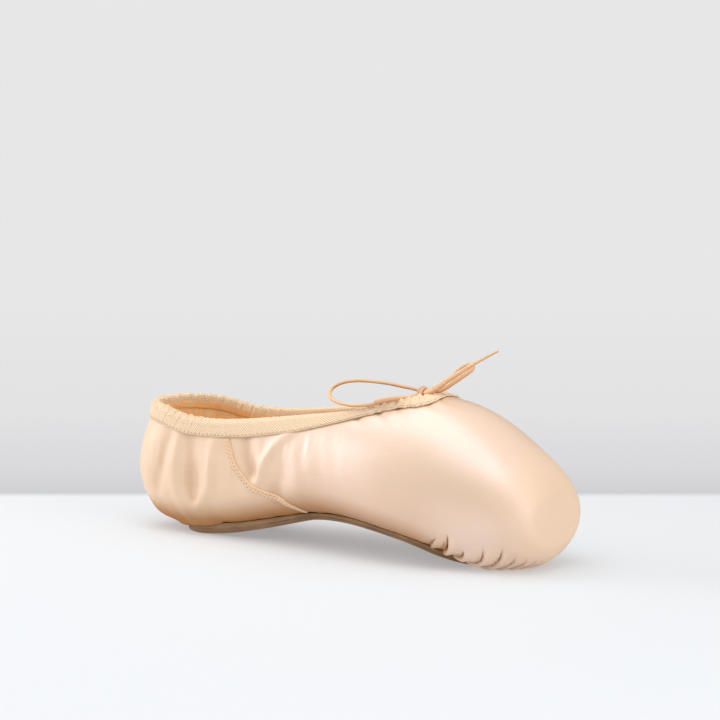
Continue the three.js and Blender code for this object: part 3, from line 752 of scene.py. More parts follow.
def tuck_relief(points, side):
    relief = np.zeros(len(points))
    for i, (deep, wide, route) in enumerate(TUCKS):
        shift = TUCK_SHIFT[side] * math.sin(TUCK_TURN * i)
        line, normal = route_on_last([(x + shift * (k > 0), angle) for k, (x, angle) in enumerate(route)], 90)
        ahead = unit(np.cross(normal, np.gradient(line, axis=0)))
        ahead *= np.sign(ahead[:, :1] + 1e-9)
        near, apart, k = nearest_on_route(points, line, TUCK_REACH * wide)
        share = k / (len(line) - 1)
        fade = smooth_step(*TUCK_GROWS, share) * (1 - smooth_step(*TUCK_FADES, share))
        fade = fade + TUCK_REST * (share < TUCK_REST_TO)
        offset = np.einsum("ij,ij->i", points[near] - line[k], ahead[k])
        form = sum(part * hump(offset, at * wide, spread * wide) for part, at, spread in TUCK_SECTION)
        past_end = np.clip((share > TUCK_END) * apart / wide, 0, 3)
        relief[near] += deep * fade * form * hump(past_end, 0, 1)
    return relief


# Uneven ripples of the cloth: how high in millimetres, what the phase takes from the side, where it starts,
# and the lengths of the waves
RIPPLES = {
    "slack": (0.30, 1.3, 2, (17.0, 11.0, 26.0)),
    "sewn": (0.22, 1, 4.1, (4.3, 5.9, 7.7)),
    "hem": (0.16, 2.2, 5, (3.1, 4.3, 5.9)),
    "heel_puff": (0.30, 1.9, 3, (2.3, 3.1, 4.7)),
    "throat_puff": (1.5, 0.8, 4, (2.7, 3.9, 6.1)),
    "heel_sway": (0.60, 2.7, 1, (2.1, 3.7, 6.3)),
    "sway": (0.10, 2.7, 1, (2.1, 3.7, 6.3)),
    "throat_sway": (1.3, 1.1, 6, (2.5, 4.1, 7.3)),
    "ragged": (1.0, 3.3, 8, (0.95, 1.35, 1.7)),
    "edge": (0.55, 2.3, 2, (5.3, 8.1, 3.7)),
    "string": (0.04, 1, 0, (5.1, 7.9)),
}


def ripple(name, place, side):
    """An uneven ripple, the same each time: a few sines of near lengths."""
    high, turn, start, waves = RIPPLES[name]
    seed = turn * side + start
    total = sum(np.sin(2 * math.pi * place / wave + seed * (i + 1.7)) for i, wave in enumerate(waves))
    return high * total / len(waves)


# Places round the heel are counted at this radius, and depths below the collar at the quarter's own
HEEL_RADIUS = 55
QUARTER_RADIUS = 30
QUARTER_ENDS = (95, 150)
# The slack's waves slant by this much of the height; it begins below the collar, where the seam's gathers are
SLACK_SLANT = 0.25
SLACK_BEGINS = (3, 14)
SEWN_AT = (8, 5)
# Where shade is painted on the satin: heights above the last's bottom, places along the shoe, and depths of
# the creases
PAINTED_SHADE_SOLE = (0.5, 16)
PAINTED_SHADE_ARCH = {"share": 0.34, "begins": (85, 125), "height": (6, 36)}
PAINTED_SHADE_ENDS = (180, 206)
PAINTED_SHADE_CREASE = {"share": 0.24, "depth": (0.2, 1.3)}
PAINTED_SHADE_TUCK = (0.15, 1.0)
# The roll of satin beside the heel of the sole: how far it hangs, its middle and width outside the sole's
# edge, and where it begins there, ends along the shoe and begins down the side in degrees
HEEL_ROLL = {"hang": 1.9, "across": (1.8, 3.2), "begins": (-0.4, 0.8), "ends": (40, 66), "down": (132, 155)}
HEM_DOWN = (118, 150)
HEM_ENDS = (183, 195)


def place_round(x, station):
    """Millimetres along the shoe's side, carried on round the heel."""
    return np.where(station < 0, station * HEEL_RADIUS, x)


def soft_relief(points, station, angle, side):
    """The slack of the cloth over the last, which both the satin and the lining follow."""
    x = points[:, 0]
    quarter = 1 - smooth_step(*QUARTER_ENDS, x)
    below = (angle - collar_angle(station)) * QUARTER_RADIUS
    around = place_round(x, station)
    slack = quarter * ripple("slack", around + SLACK_SLANT * points[:, 2], side)
    sewn = quarter * ripple("sewn", around, side) * hump(below, *SEWN_AT)
    return crease_relief(points, side) + (slack + sewn) * smooth_step(*SLACK_BEGINS, below)


def hem_relief(points, station, angle, side):
    """Fine gathers where the satin turns in under the sole."""
    x = points[:, 0]
    low = smooth_step(*HEM_DOWN, np.degrees(angle)) * (1 - smooth_step(*HEM_ENDS, x))
    return low * ripple("hem", place_round(x, station), side)


def heel_roll(points, angle):
    """The soft roll of satin that hangs beside the heel end of the sole."""
    x = points[:, 0]
    y = points[:, 1]
    along = np.minimum(x - SOLE_BACK - SOLE_END_ROUND, 0) / SOLE_END_ROUND
    outside = (np.hypot(along, y / sole_width(np.maximum(x, SOLE_BACK))) - 1) * sole_width(SOLE_BACK)
    hang = HEEL_ROLL["hang"] * hump(outside, *HEEL_ROLL["across"])
    hang = hang * smooth_step(*HEEL_ROLL["begins"], outside) * (1 - smooth_step(*HEEL_ROLL["ends"], x))
    return hang * smooth_step(*HEEL_ROLL["down"], np.degrees(angle))


def painted_shade_amount(points, creases, tucks):
    """How much shade is painted on the satin: towards the sole, in the creases, and deep in the tucks."""
    x = points[:, 0]
    above = points[:, 2] - ALONG["bottom"](np.clip(x, HEEL_X, TIP_X))
    at_sole = 1 - smooth_step(*PAINTED_SHADE_SOLE, above)
    at_arch = smooth_step(*PAINTED_SHADE_ARCH["begins"], x) * (1 - smooth_step(*PAINTED_SHADE_ARCH["height"], above))
    at_arch = PAINTED_SHADE_ARCH["share"] * at_arch
    # Shade painted towards the sole and under the arch, fading at the toe, and in the creases' troughs
    under = (at_sole * (1 - at_arch) + at_arch) * (1 - smooth_step(*PAINTED_SHADE_ENDS, x))
    troughs = PAINTED_SHADE_CREASE["share"] * smooth_step(*PAINTED_SHADE_CREASE["depth"], -creases)
    return np.clip(under + troughs + smooth_step(*PAINTED_SHADE_TUCK, -tucks), 0, 1)


# How finely the upper is divided: round the heel, along the side and crowding towards the throat, over the
# vamp, over the toe's edge and platform, and in rows down the side
HEEL_STEPS = 62
CROWDING = (3.0, 1.6, 0.8, 0.3)
SIDE_X = (HEEL_X, THROAT_X - CROWDING[0])
SIDE_STEPS = 112
FRONT_X = (THROAT_X, 184.0, TIP_X)
FRONT_STEPS = (16, 82)
EDGE_STEPS = (34, 12)
ROW_SHARES = (0.0, 0.5, 1.0)
ROW_STEPS = (44, 72)
LINING_ROWS = 14


def upper_stations():
    sides = [THROAT_X - near for near in CROWDING[1:]]
    rim = station_of_x(np.concatenate([steps_between(SIDE_X, [SIDE_STEPS])[1:], sides]))
    front = station_of_x(steps_between(FRONT_X, FRONT_STEPS))
    heel = steps_between([-1, 0], [HEEL_STEPS])
    edge = steps_between([1, 2, 3], EDGE_STEPS)[1:]
    return np.concatenate([heel, rim, front, edge])


CLOTH_ANGLES = np.linspace(0, math.pi, 181)


def cloth_of(station, angle):
    """The cloth's own millimetres: along the widest line from the heel, and down from the ridge line."""
    fine = np.linspace(-1, 3, 1601)
    along = np.interp(station, fine, length_along(surface(fine, math.pi / 2)))
    sections = surface(station[:, :1], CLOTH_ANGLES[None, :])
    rows = [np.interp(turn, CLOTH_ANGLES, length_along(section)) for turn, section in zip(angle, sections)]
    return np.stack([along, np.stack(rows)], axis=-1)


# Past this station the creases fade towards the shoe's middle, over this much of the angle's sine
MIDDLE_FROM = 0.68
MIDDLE_FADE = (0.0, 0.02)
ON_MIDDLE = 1e-3


def satin_off(station, angle, side):
    """How far the satin stands off the last, and how much shade is painted on it."""
    spots = surface(station, angle)
    tucks = tuck_relief(spots, side)
    off = soft_relief(spots, station, angle, side) + tucks
    off = off + hem_relief(spots, station, angle, side) + heel_roll(spots, angle)
    fade = smooth_step(*MIDDLE_FADE, np.abs(np.sin(angle)))
    return off * np.where(station > MIDDLE_FROM, fade, 1), painted_shade_amount(spots, crease_relief(spots, side), tucks)


def lining_off(station, angle, side):
    """The same for the lining, which lies inside the wall and gets no painted shade."""
    off = soft_relief(surface(station, angle), station, angle, side)
    return off - wall_at(station), np.zeros(len(off))


# The upper's skins: their rows' shares of the way down, how they stand off the last, and their lowest height
SKINS = [
    (steps_between(ROW_SHARES, ROW_STEPS), satin_off, 0.0),
    (np.linspace(0, 1, LINING_ROWS + 1), lining_off, 1.2),
]


def skin_points(station, angle, off, floor):
    """Points that stand off the last, kept above the floor and on their side of the shoe's middle."""
    place = surface(station, angle)
    skin = place + surface_frame(station, angle)[2] * off.reshape(angle.shape)[..., None]
    skin[..., 2] = np.maximum(skin[..., 2], floor)
    skin[..., 1] = np.where(np.abs(place[..., 1]) < ON_MIDDLE, 0, np.maximum(skin[..., 1], 0))
    return skin


def edge_strip(skins, edge):
    """Faces that join the first or last row of two skins, but not along the shoe's middle."""
    edges = []
    for skin, first in skins:
        rows, columns = skin.shape[:2]
        edges.append(first + np.arange(rows) * columns + edge % columns)
    outer, inner = edges
    y = skins[0][0][:, edge, 1]
    off_middle = (y[:-1] > 0) | (y[1:] > 0)
    return np.stack([outer[:-1], inner[:-1], inner[1:], outer[1:]], axis=1)[off_middle]


def make_upper(satin, lining):
    """The satin over its lining, closed at the collar and at the opening underneath."""
    stations = upper_stations()[:, None]
    top = collar_angle(stations)
    bottom = opening_angle(stations)
    points = []
    cloths = []
    painted_shades = []
    faces = []
    numbers = []
    for side in (LEFT, RIGHT):
        skins = []
        for number, (shares, stand_off, floor) in enumerate(SKINS):
            angle = top + (bottom - top) * shares
            station = stations + 0 * angle
            off, dull = stand_off(station.ravel(), angle.ravel(), side)
            skin = skin_points(station, angle, off, floor)
            skins.append((skin, sum(len(part) for part in points)))
            points.append(sided(skin.reshape(-1, 3), side))
            cloths.append(cloth_of(station, angle).reshape(-1, 2))
            painted_shades.append(dull)
            faces.append(grid_faces(*angle.shape, skins[-1][1], flip=(side == RIGHT) != (number == 1)))
            numbers.append(np.full(len(faces[-1]), number))
        for edge in (0, -1):
            strip = edge_strip(skins, edge)
            faces.append(strip[:, ::-1] if (side == RIGHT) != (edge == -1) else strip)
            numbers.append(np.full(len(strip), 1))
    piece = make_piece(
        "satin_upper", np.concatenate(points), np.concatenate(faces), np.concatenate(cloths),
        [satin, lining], np.concatenate(numbers), dull=np.concatenate(painted_shades),
    )
    return finished(piece, "satin", "upper")


def closed_loops(name, loops, cloth, finishes, joined=False, sharp=None, bands=None):
    """A solid from closed loops of points, one after another, with flat ends or joined end to end.

    Bands gives the number of the finish that each strip between the loops' corners takes.
    """
    count, corners = loops.shape[:2]
    rows = np.concatenate([loops, loops[:, :1]], axis=1)
    if joined:
        rows = np.concatenate([rows, rows[:1]])
    faces = list(grid_faces(len(rows), corners + 1))
    numbers = list(np.tile(np.zeros(corners, int) if bands is None else bands, len(rows) - 1))
    points = rows.reshape(-1, 3)
    if not joined:
        tips = np.stack([loops[0].mean(axis=0), loops[-1].mean(axis=0)])
        first = len(points)
        last = (count - 1) * (corners + 1)
        for k in range(corners):
            faces += [[first, k, k + 1], [first + 1, last + k + 1, last + k]]
            numbers += [0, 0]
        points = np.concatenate([points, tips])
        cloth = np.concatenate([cloth, cloth[[0, -1]]])
    return make_piece(name, points, faces, cloth, finishes, numbers, sharp=sharp)


# The binding: a twill casing folded over the collar's edge, gathered by the drawstring in it
BINDING_DEPTH = 6.8
BINDING_TURN_IN = 5.3
BINDING_CLOTH = 0.8
BINDING_OFF = GAP + 0.25
BINDING_INSIDE = -QUARTER_WALL - BINDING_OFF
BINDING_FACE = BINDING_OFF + BINDING_CLOTH
BINDING_BACK = BINDING_INSIDE - BINDING_CLOTH
BINDING_DEPTHS = [
    (HEEL_X, 6.8), (78, 6.8), (104, 6.7), (122, 5.4), (138, 3.9), (150, 3.6), (158, 4.6), (THROAT_X, 6.8),
]
binding_depth = curve_through(*zip(*BINDING_DEPTHS))
RIM_STEPS = 520
# The casing's section, round from its sewn edge: millimetres off the wall's face, and down from its edge
BINDING_ROUTE = [
    (BINDING_OFF - 0.3, BINDING_DEPTH - 0.2),
    (BINDING_OFF, BINDING_DEPTH / 2),
    (BINDING_OFF - 0.1, 0.4),
    (-QUARTER_WALL / 2, -0.3),
    (BINDING_INSIDE + 0.1, 0.4),
    (BINDING_INSIDE, BINDING_TURN_IN - 0.2),
    (BINDING_INSIDE - 0.15, BINDING_TURN_IN),
    (BINDING_INSIDE - 0.3, BINDING_TURN_IN - 0.3),
    (BINDING_BACK - 0.1, 2.8),
    (BINDING_BACK - 0.25, 1.0),
    (BINDING_INSIDE - BINDING_CLOTH * 0.8, -0.6),
    (-QUARTER_WALL - 0.7, -1.6),
    (-QUARTER_WALL / 2, -2.0),
    (0.6, -1.6),
    (BINDING_OFF + BINDING_CLOTH * 0.8, -0.6),
    (BINDING_FACE + 0.25, 0.9),
    (BINDING_FACE + 0.05, 2.4),
    (BINDING_FACE - 0.1, 4.2),
    (BINDING_FACE - 0.35, BINDING_DEPTH - 1.3),
    (BINDING_FACE - 0.35, BINDING_DEPTH - 0.65),
    (BINDING_FACE - 0.4, BINDING_DEPTH - 0.25),
    (BINDING_FACE - 0.65, BINDING_DEPTH + 0.15),
]
BINDING_POINTS = 60
LINING_FROM = 1.3
# Places along the rim crowd towards the throat, from this far before it
RIM_CROWD = 12
# Where along the rim the drawstring gathers the casing: it ends past the heel, and begins before the throat
HEEL_GATHERS = (46, 84)
THROAT_GATHERS = (48, 14)
# The casing puffs out most at its top; even, it stands off this much, and as much more where it is gathered
PUFF = {"even": 0.06, "at_throat": 0.525, "slant": 0.45, "top": (-1.2, 5.0), "below": 0.3}
# Its top is a little ragged, and more so in the gathers at the heel and at the throat
RAGGED = {"even": 0.05, "at_heel": 0.22, "at_throat": 0.12}
# The gathers fade towards both ends of the rim; inside, the casing puffs the other way, down to its sewn edge
PUFF_ENDS = {"heel": (0, 3), "throat": (1, 11)}
PUFF_INSIDE = -0.6
PUFF_DOWN_TO = 6
# The sewn edge wavers past this much of the rim before the throat, and this far down the casing
EDGE_WAVERS = {"rim": (0.0, 6.0), "down": (1.5, 5.5)}
# Under the knot the casing hangs lower: millimetres down, from the throat along the rim and how wide, and the
# share that its top takes of it
KNOT_SAG = {"deep": 3.9, "at": (8.0, 6.3), "top_share": 0.25, "down": (-1, 5)}


def rim_places():
    """Even places along one side's collar edge, from the heel to the throat."""
    crowd = THROAT_X - np.geomspace(RIM_CROWD, 0.02, 60)
    x = np.concatenate([np.linspace(HEEL_X, THROAT_X - RIM_CROWD, 400)[1:-1], crowd, [THROAT_X]])
    station = np.concatenate([np.linspace(-1, 0, 300), station_of_x(x)])
    run = length_along(surface(station, collar_angle(station)))
    even = np.linspace(0, run[-1], RIM_STEPS + 1)
    return np.interp(even, run, station), even


def rim_frames():
    """Along the rim: its places, and the rates at which station and angle go square down from it."""
    station, run = rim_places()
    angle = collar_angle(station)
    along, down, normal = surface_frame(station, angle)
    line = surface(station, angle)
    before = np.concatenate([sided(line[1:2], RIGHT), line[:-1]])
    after = np.concatenate([line[1:], sided(line[-2:-1], RIGHT)])
    outward = unit(np.cross(normal, after - before))

    def dot(a, b):
        return np.einsum("ij,ij->i", a, b)

    stretch = dot(along, along) * dot(down, down) - dot(along, down) ** 2
    first = dot(along, outward)
    second = dot(down, outward)
    station_rate = (first * dot(down, down) - second * dot(along, down)) / stretch
    angle_rate = (second * dot(along, along) - first * dot(along, down)) / stretch
    return station, angle, station_rate, angle_rate, run


def narrowing(rim):
    """How deep the casing is along the rim, as a share of its full depth."""
    x = np.where(rim[0] < 0, HEEL_X, x_of_station(rim[0]))
    return np.minimum(binding_depth(x) / BINDING_DEPTH, 1)


def band_point(rim, off, down):
    """A point that stands off the wall, square down from the collar's edge."""
    station, angle, station_rate, angle_rate, _ = rim
    place = station + station_rate * down
    turn = angle + angle_rate * down
    return surface(place, turn) + surface_frame(place, turn)[2] * np.asarray(off)[..., None]


def gathers(run, total):
    """How strongly the drawstring gathers the casing, along the rim: (at the heel, at the throat)."""
    begins, full = THROAT_GATHERS
    return 1 - smooth_step(*HEEL_GATHERS, run), smooth_step(total - begins, total - full, run)


def binding_relief(run, total, side, down):
    """What the gathers add off the wall and to the height of the casing's top."""
    heel, throat = gathers(run, total)
    top = 1 - smooth_step(*PUFF["top"], down)
    slanted = run + PUFF["slant"] * down
    puff = PUFF["even"] + heel * ripple("heel_puff", slanted, side)
    puff = puff + throat * (PUFF["at_throat"] + ripple("throat_puff", slanted, side))
    sway = ripple("sway", run, side) + heel * ripple("heel_sway", run, side)
    sway = sway + throat * ripple("throat_sway", run, side)
    ragged = RAGGED["even"] + RAGGED["at_heel"] * heel + RAGGED["at_throat"] * throat
    sway = sway + ragged * ripple("ragged", run, side)
    return puff * (PUFF["below"] + (1 - PUFF["below"]) * top), sway * top


def edge_waver(run, total, side, down):
    """How the casing's sewn edge wavers where the drawstring gathers it, and sags under the knot."""
    throat = gathers(run, total)[1] * smooth_step(*EDGE_WAVERS["rim"], total - run)
    waver = throat * ripple("edge", run, side) * smooth_step(*EDGE_WAVERS["down"], down)
    sag = KNOT_SAG["deep"] * hump(total - run, *KNOT_SAG["at"])
    top_share = KNOT_SAG["top_share"]
    return waver + sag * (top_share + (1 - top_share) * smooth_step(*KNOT_SAG["down"], down))


def make_binding(twill, lining):
    rim = rim_frames()
    run = rim[-1]
    total = run[-1]
    section = smooth_route(BINDING_ROUTE + BINDING_ROUTE[:1], BINDING_POINTS + 1)[:-1]
    ends = smooth_step(*PUFF_ENDS["heel"], run) * smooth_step(*PUFF_ENDS["throat"], total - run)
    loops = {}
    for side in (LEFT, RIGHT):
        rings = []
        for off, down in section:
            outside = off > -QUARTER_WALL / 2
            puff, sway = binding_relief(run, total, side, down)
            reach = down * narrowing(rim) if outside and down > 0 else down + 0 * run
            reach = reach + edge_waver(run, total, side, down) * outside
            lift = puff * ends * (1.0 if outside else PUFF_INSIDE) * (down < PUFF_DOWN_TO)
            rings.append(band_point(rim, off + lift, reach - sway * ends))
        rings = np.stack(rings, axis=1)
        rings[[0, -1], :, 1] = 0
        loops[side] = sided(rings, side)
    ring = np.concatenate([loops[LEFT], loops[RIGHT][::-1][1:-1]])
    along = np.concatenate([run, 2 * total - run[::-1][1:-1], [2 * total]])
    width = length_along(np.vstack([section, section[:1]]))
    off_face = 10 * (section[:, 0] < BINDING_OFF + BINDING_CLOTH / 2)
    sewn = np.argmin(np.abs(section[:, 1] - (BINDING_DEPTH - BINDING_STITCH_UP)) + off_face)
    cloth = pairs(along, width + BINDING_ROW - width[sewn])
    inner = (section[:, 0] < BINDING_INSIDE - 0.1) & (section[:, 1] > LINING_FROM)
    piece = closed_loops("twill_binding", ring, cloth, [twill, lining], joined=True, bands=inner.astype(int))
    return finished(piece, "casing", "binding")


def tube_rings(line, wide, thick, sides, up=(0, 0, 1)):
    """Rings of points round a line, wide across and thick along the way that up points."""
    run = unit(np.gradient(line, axis=0))
    side = np.cross(run, up)
    side /= np.maximum(np.linalg.norm(side, axis=1, keepdims=True), 1e-6)
    rise = np.cross(side, run)
    angles = np.linspace(0, 2 * math.pi, sides, endpoint=False)
    across = side[:, None] * np.cos(angles)[None, :, None] * np.reshape(wide, (-1, 1, 1)) / 2
    above = rise[:, None] * np.sin(angles)[None, :, None] * np.reshape(thick, (-1, 1, 1)) / 2
    return line[:, None] + across + above


def tube_cloth(line, girth, sides):
    return pairs(length_along(line), np.linspace(0, girth, sides + 1))


def joined_tubes(name, tubes, finish):
    """One piece from many tubes, each with its rings, its cloth's places and whether it closes on itself."""
    points = []
    faces = []
    cloths = []
    first = 0
    for rings, cloth, closed in tubes:
        rows = np.concatenate([rings, rings[:, :1]], axis=1)
        if closed:
            rows[-1] = rows[0]
        points.append(rows.reshape(-1, 3))
        cloths.append(cloth)
        count, sides = rings.shape[:2]
        faces.extend(grid_faces(count, sides + 1, first))
        if not closed:
            last = first + (count - 1) * (sides + 1)
            faces.append(list(range(first + sides - 1, first - 1, -1)))
            faces.append(list(range(last, last + sides)))
        first += count * (sides + 1)
    return make_piece(name, np.concatenate(points), faces, np.concatenate(cloths), [finish])


# The drawstring's bow: each run's places from the knot outwards
CORD = 1.9
CORD_SIDES = 20
KNOT_PLACE = np.array([163.8, -2.2, 76.9])
RUNS = {
    "loop_heelward": [
        (160.5, -1.6, 78.2), (152, -3.4, 79.0), (142, -6, 79.8), (131, -9, 80.0), (124.4, -11.2, 78.8),
        (120.2, -13.6, 76.2), (120.4, -16.1, 73.9), (123.5, -18.6, 72), (129, -20.8, 70.8), (135, -22, 70.3),
        (141, -22, 70.4), (147, -20, 71.2), (152, -16, 72.4), (156.4, -11, 73.8), (160.4, -5.5, 75.8),
    ],
    "loop_toeward": [
        (167.3, -1.6, 77.8), (170.8, -1.0, 78.2), (173.7, 0.5, 79.1), (177.1, 2.0, 81.2), (180.2, 4.0, 83.5),
        (183, 6.3, 85.9), (184.2, 8.6, 87.7), (182.6, 10.6, 89.2), (179.8, 10.2, 88.7), (177, 8.8, 86.9),
        (174.1, 6.8, 84.0), (170.7, 4.5, 81.2), (167.4, 1.4, 79.2),
    ],
    "end_heelward": [
        (162, -7, 75.2), (159.6, -12.4, 75.1), (156.6, -16.6, 74.5), (153.2, -19.4, 73.6),
        (149.9, -21.4, 72.5),
    ],
    "end_toeward": [
        (167.3, -4.7, 77.6), (170.2, -4.4, 78.6), (172.9, -3.7, 80.1), (176.3, -2, 82.5), (181.7, 1.6, 86.3),
        (187, 6.2, 90.5), (191.7, 9.8, 93.7), (195.6, 12.2, 96.1),
    ],
}
# Each string makes one loop, passes through the knot and ends on the other side; the elastic's width
# across and thickness upwards are those at the loop's start, before and after the knot, and at the cut tip
STRINGS = {
    "heelward": {
        "loop": "loop_heelward", "end": "end_toeward", "phase": 8,
        "wide": (1.9, 1.7, 2.0, 1.1), "thick": (1.7, 1.7, 2.9, 1.1),
    },
    "toeward": {
        "loop": "loop_toeward", "end": "end_heelward", "phase": 7,
        "wide": (1.8, 1.7, 1.7, 1.7), "thick": (2.4, 1.9, 1.9, 2.6),
    },
}
KNOT_SHARE = 0.04
STEP_LENGTH = 0.45
# The knot settles a little into the gathers, and the strands near it with it
KNOT_SETTLE = np.array([0.4, -0.5, -1.3])
KNOT_REACH = 13.0


def settled(points):
    apart = np.linalg.norm(points - KNOT_PLACE, axis=-1, keepdims=True)
    return points + KNOT_SETTLE * hump(apart, 0, KNOT_REACH)


def route_length(line):
    return float(np.linalg.norm(np.diff(line, axis=0), axis=1).sum())


def make_string(name, elastic):
    form = STRINGS[name]
    route = [tuple(KNOT_PLACE), *RUNS[form["loop"]], tuple(KNOT_PLACE), *RUNS[form["end"]]]
    length = route_length(smooth_route(route, 400))
    line = settled(smooth_route(route, int(length / STEP_LENGTH)))
    knot = route_length(smooth_route(route[:len(RUNS[form["loop"]]) + 2], 300)) / length
    share = np.linspace(0, 1, len(line))
    wobble = 1 + ripple("string", share * length, form["phase"])
    at = (0, knot, knot + KNOT_SHARE, 1)
    wide, thick = (np.interp(share, at, form[way]) * wobble for way in ("wide", "thick"))
    rings = tube_rings(line, wide, thick, CORD_SIDES)
    cloth = tube_cloth(line, math.pi * CORD, CORD_SIDES)
    piece = closed_loops("drawstring_" + name, rings, cloth, [elastic], sharp=50)
    finished(piece, "elastic", "drawstring_" + form["loop"], "drawstring_" + form["end"])
    return piece, line, length


# The knot's turns: how far along from its middle, how much they lean, and their radius across and upwards
KNOT_TURNS = [
    {"shift": -1.3, "lean": 0.25, "across": 1.7, "up": 1.5, "thick": 1.7},
    {"shift": 0.4, "lean": -0.12, "across": 2.8, "up": 2.5, "thick": 2.2},
]
KNOT_SIDES = 16
# Where the strings come out of the casing, and how thick they are there
EYELETS = [(166.4, -3.6, 74.6), (166.6, 1.6, 74.8)]
EYELET_THICK = 1.7


def knot_strands():
    """Turns of the elastic round the crossing strands, and the strings that come up out of the casing."""
    angles = np.linspace(0, 2 * math.pi, 49)
    for turn in KNOT_TURNS:
        ring = np.stack([
            KNOT_PLACE[0] + turn["shift"] + turn["lean"] * turn["up"] * np.cos(angles),
            KNOT_PLACE[1] + turn["across"] * np.sin(angles),
            KNOT_PLACE[2] + turn["up"] * np.cos(angles),
        ], axis=1)
        yield ring, turn["thick"], (1, 0.1, 0)
    for x, y, z in EYELETS:
        route = [(x, y, z), (x - 0.9, y * 0.8, z + 1.1), tuple(KNOT_PLACE)]
        yield smooth_route(route, 16), EYELET_THICK, (0, 0, 1)


def make_knot(elastic):
    tubes = [
        (
            settled(tube_rings(line, thick, thick, KNOT_SIDES, up)),
            tube_cloth(line, math.pi * thick, KNOT_SIDES),
            up[0] == 1,
        )
        for line, thick, up in knot_strands()
    ]
    return finished(joined_tubes("drawstring_wraps", tubes, elastic), "elastic", "drawstring_knot")


def make_bow(elastic):
    knot = make_knot(elastic)
    for name in STRINGS:
        piece, line, length = make_string(name, elastic)
        metres(line[0])
        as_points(metres(line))


# Plates that follow the last's underside
PLATE_TIP = 1.5


def bottom_height(x, y):
    behind = x < HEEL_X
    station = np.where(behind, np.arctan2(np.abs(y), HEEL_X - x) / (math.pi / 2) - 1, station_of_x(x))
    section = section_of_station(station)
    reach = heel_turn(station)[1]
    share = np.where(behind, np.hypot(x - HEEL_X, y) / reach, np.abs(y) / section["half"])
    angle = angle_under(section, share)
    rise = np.abs(np.cos(angle)) ** (2 / section["low_round"])
    return section["widest"] + (section["bottom"] - section["widest"]) * rise


def plate_outline(width, back, front, end_round, x):
    past = np.maximum(back + end_round - x, x - (front - end_round)) / end_round
    return np.maximum(width * np.sqrt(np.clip(1 - np.clip(past, 0, 1) ** 2, 0, 1)), PLATE_TIP)


def plate_stations(back, front, end_round, ends, middle):
    turns = np.linspace(0, math.pi / 2, ends + 1)
    start = back + end_round * (1 - np.cos(turns))
    between = np.linspace(start[-1], front - end_round, middle + 1)[1:-1]
    return np.concatenate([start, between, (front - (start - back))[::-1]])


SOLE_SHARES = np.sin(np.linspace(-1, 1, 35) * math.pi / 2)
SOLE_FACE_SHARE = 0.985
# The cut edge of the sole, from its top to its underside: share of the thickness down, and millimetres out
SOLE_EDGE = [
    (0.04, 0.12), (0.12, 0.26), (0.28, 0.34), (0.42, 0.32), (0.47, 0.10), (0.53, 0.10), (0.58, 0.30),
    (0.74, 0.30), (0.88, 0.16), (0.97, -0.08),
]


def make_outsole(upper_leather, lower_leather):
    x = plate_stations(SOLE_BACK, SOLE_FRONT, SOLE_END_ROUND, ends=16, middle=130)[:, None]
    half = plate_outline(sole_width(x), SOLE_BACK, SOLE_FRONT, SOLE_END_ROUND, x)

    def top(y):
        return bottom_height(x, y) - GAP

    def under(y):
        crown = sole_crown(x) * (y / sole_width(x)) ** 2
        return np.maximum(bottom_height(x, 0 * y) - GAP - sole_thick(x) + crown, 0)

    across = half * SOLE_SHARES[None, :] * SOLE_FACE_SHARE
    upper = np.stack([x + 0 * across, across, top(across)], axis=-1)
    lower = np.stack([x + 0 * across, across, under(across)], axis=-1)[:, ::-1]
    edges = []
    for side in (1, -1):
        rows = []
        for depth, out in SOLE_EDGE:
            y = side * half[:, 0]
            z = (1 - depth) * top(half * side)[:, 0] + depth * under(half * side)[:, 0]
            rows.append(np.stack([x[:, 0], y + side * out, z], axis=-1))
        edges.append(np.stack(rows if side > 0 else rows[::-1], axis=1))
    loops = np.concatenate([upper, edges[0], lower, edges[1]], axis=1)
    middle = loops[len(loops) // 2]
    cloth = pairs(x[:, 0], length_along(np.vstack([middle, middle[:1]])))
    half_edge = len(SOLE_EDGE) // 2
    lower_strips = 2 * (len(SOLE_EDGE) - half_edge) + len(SOLE_SHARES)
    layers = np.repeat([0, 1, 0], [len(SOLE_SHARES) - 1 + half_edge, lower_strips, half_edge + 1])
    leathers = [upper_leather, lower_leather]
    piece = closed_loops("leather_outsole", loops, cloth, leathers, sharp=50, bands=layers)
    return finished(piece, "sole_leather", "outsole")


INSOLE_BACK = 13.0
INSOLE_FRONT = 196.0
INSOLE_THICK = 1.6
INSOLE_SHARE = 0.66
INSOLE_SHARES = np.sin(np.linspace(-1, 1, 27) * math.pi / 2)
# The insole's top rounds down by this much towards its edge, from this share of its half-width
INSOLE_EDGE = 0.35
INSOLE_EDGE_FROM = 0.9
# The row of the insole whose way round gives the cloth's places across
INSOLE_MEASURED = 40


def make_insole(board):
    x = plate_stations(INSOLE_BACK, INSOLE_FRONT, SOLE_END_ROUND, ends=14, middle=90)[:, None]
    width = ALONG["half"](np.maximum(x, HEEL_X)) * INSOLE_SHARE
    half = plate_outline(width, INSOLE_BACK, INSOLE_FRONT, SOLE_END_ROUND, x)
    y = half * INSOLE_SHARES[None, :]
    base = np.maximum(bottom_height(x, y), 0) + wall_at(station_of_x(x)) + GAP
    edge = INSOLE_EDGE * smooth_step(INSOLE_EDGE_FROM, 1, np.abs(y) / half)
    upper = np.stack([x + 0 * y, y, base + INSOLE_THICK - edge], axis=-1)
    lower = np.stack([x + 0 * y, y, base], axis=-1)[:, ::-1]
    loops = np.concatenate([upper, lower], axis=1)
    row = loops[INSOLE_MEASURED]
    cloth = pairs(x[:, 0], length_along(np.vstack([row, row[:1]])))
    piece = closed_loops("covered_insole", loops, cloth, [board], sharp=50)
    return finished(piece, "insole_board", "insole")


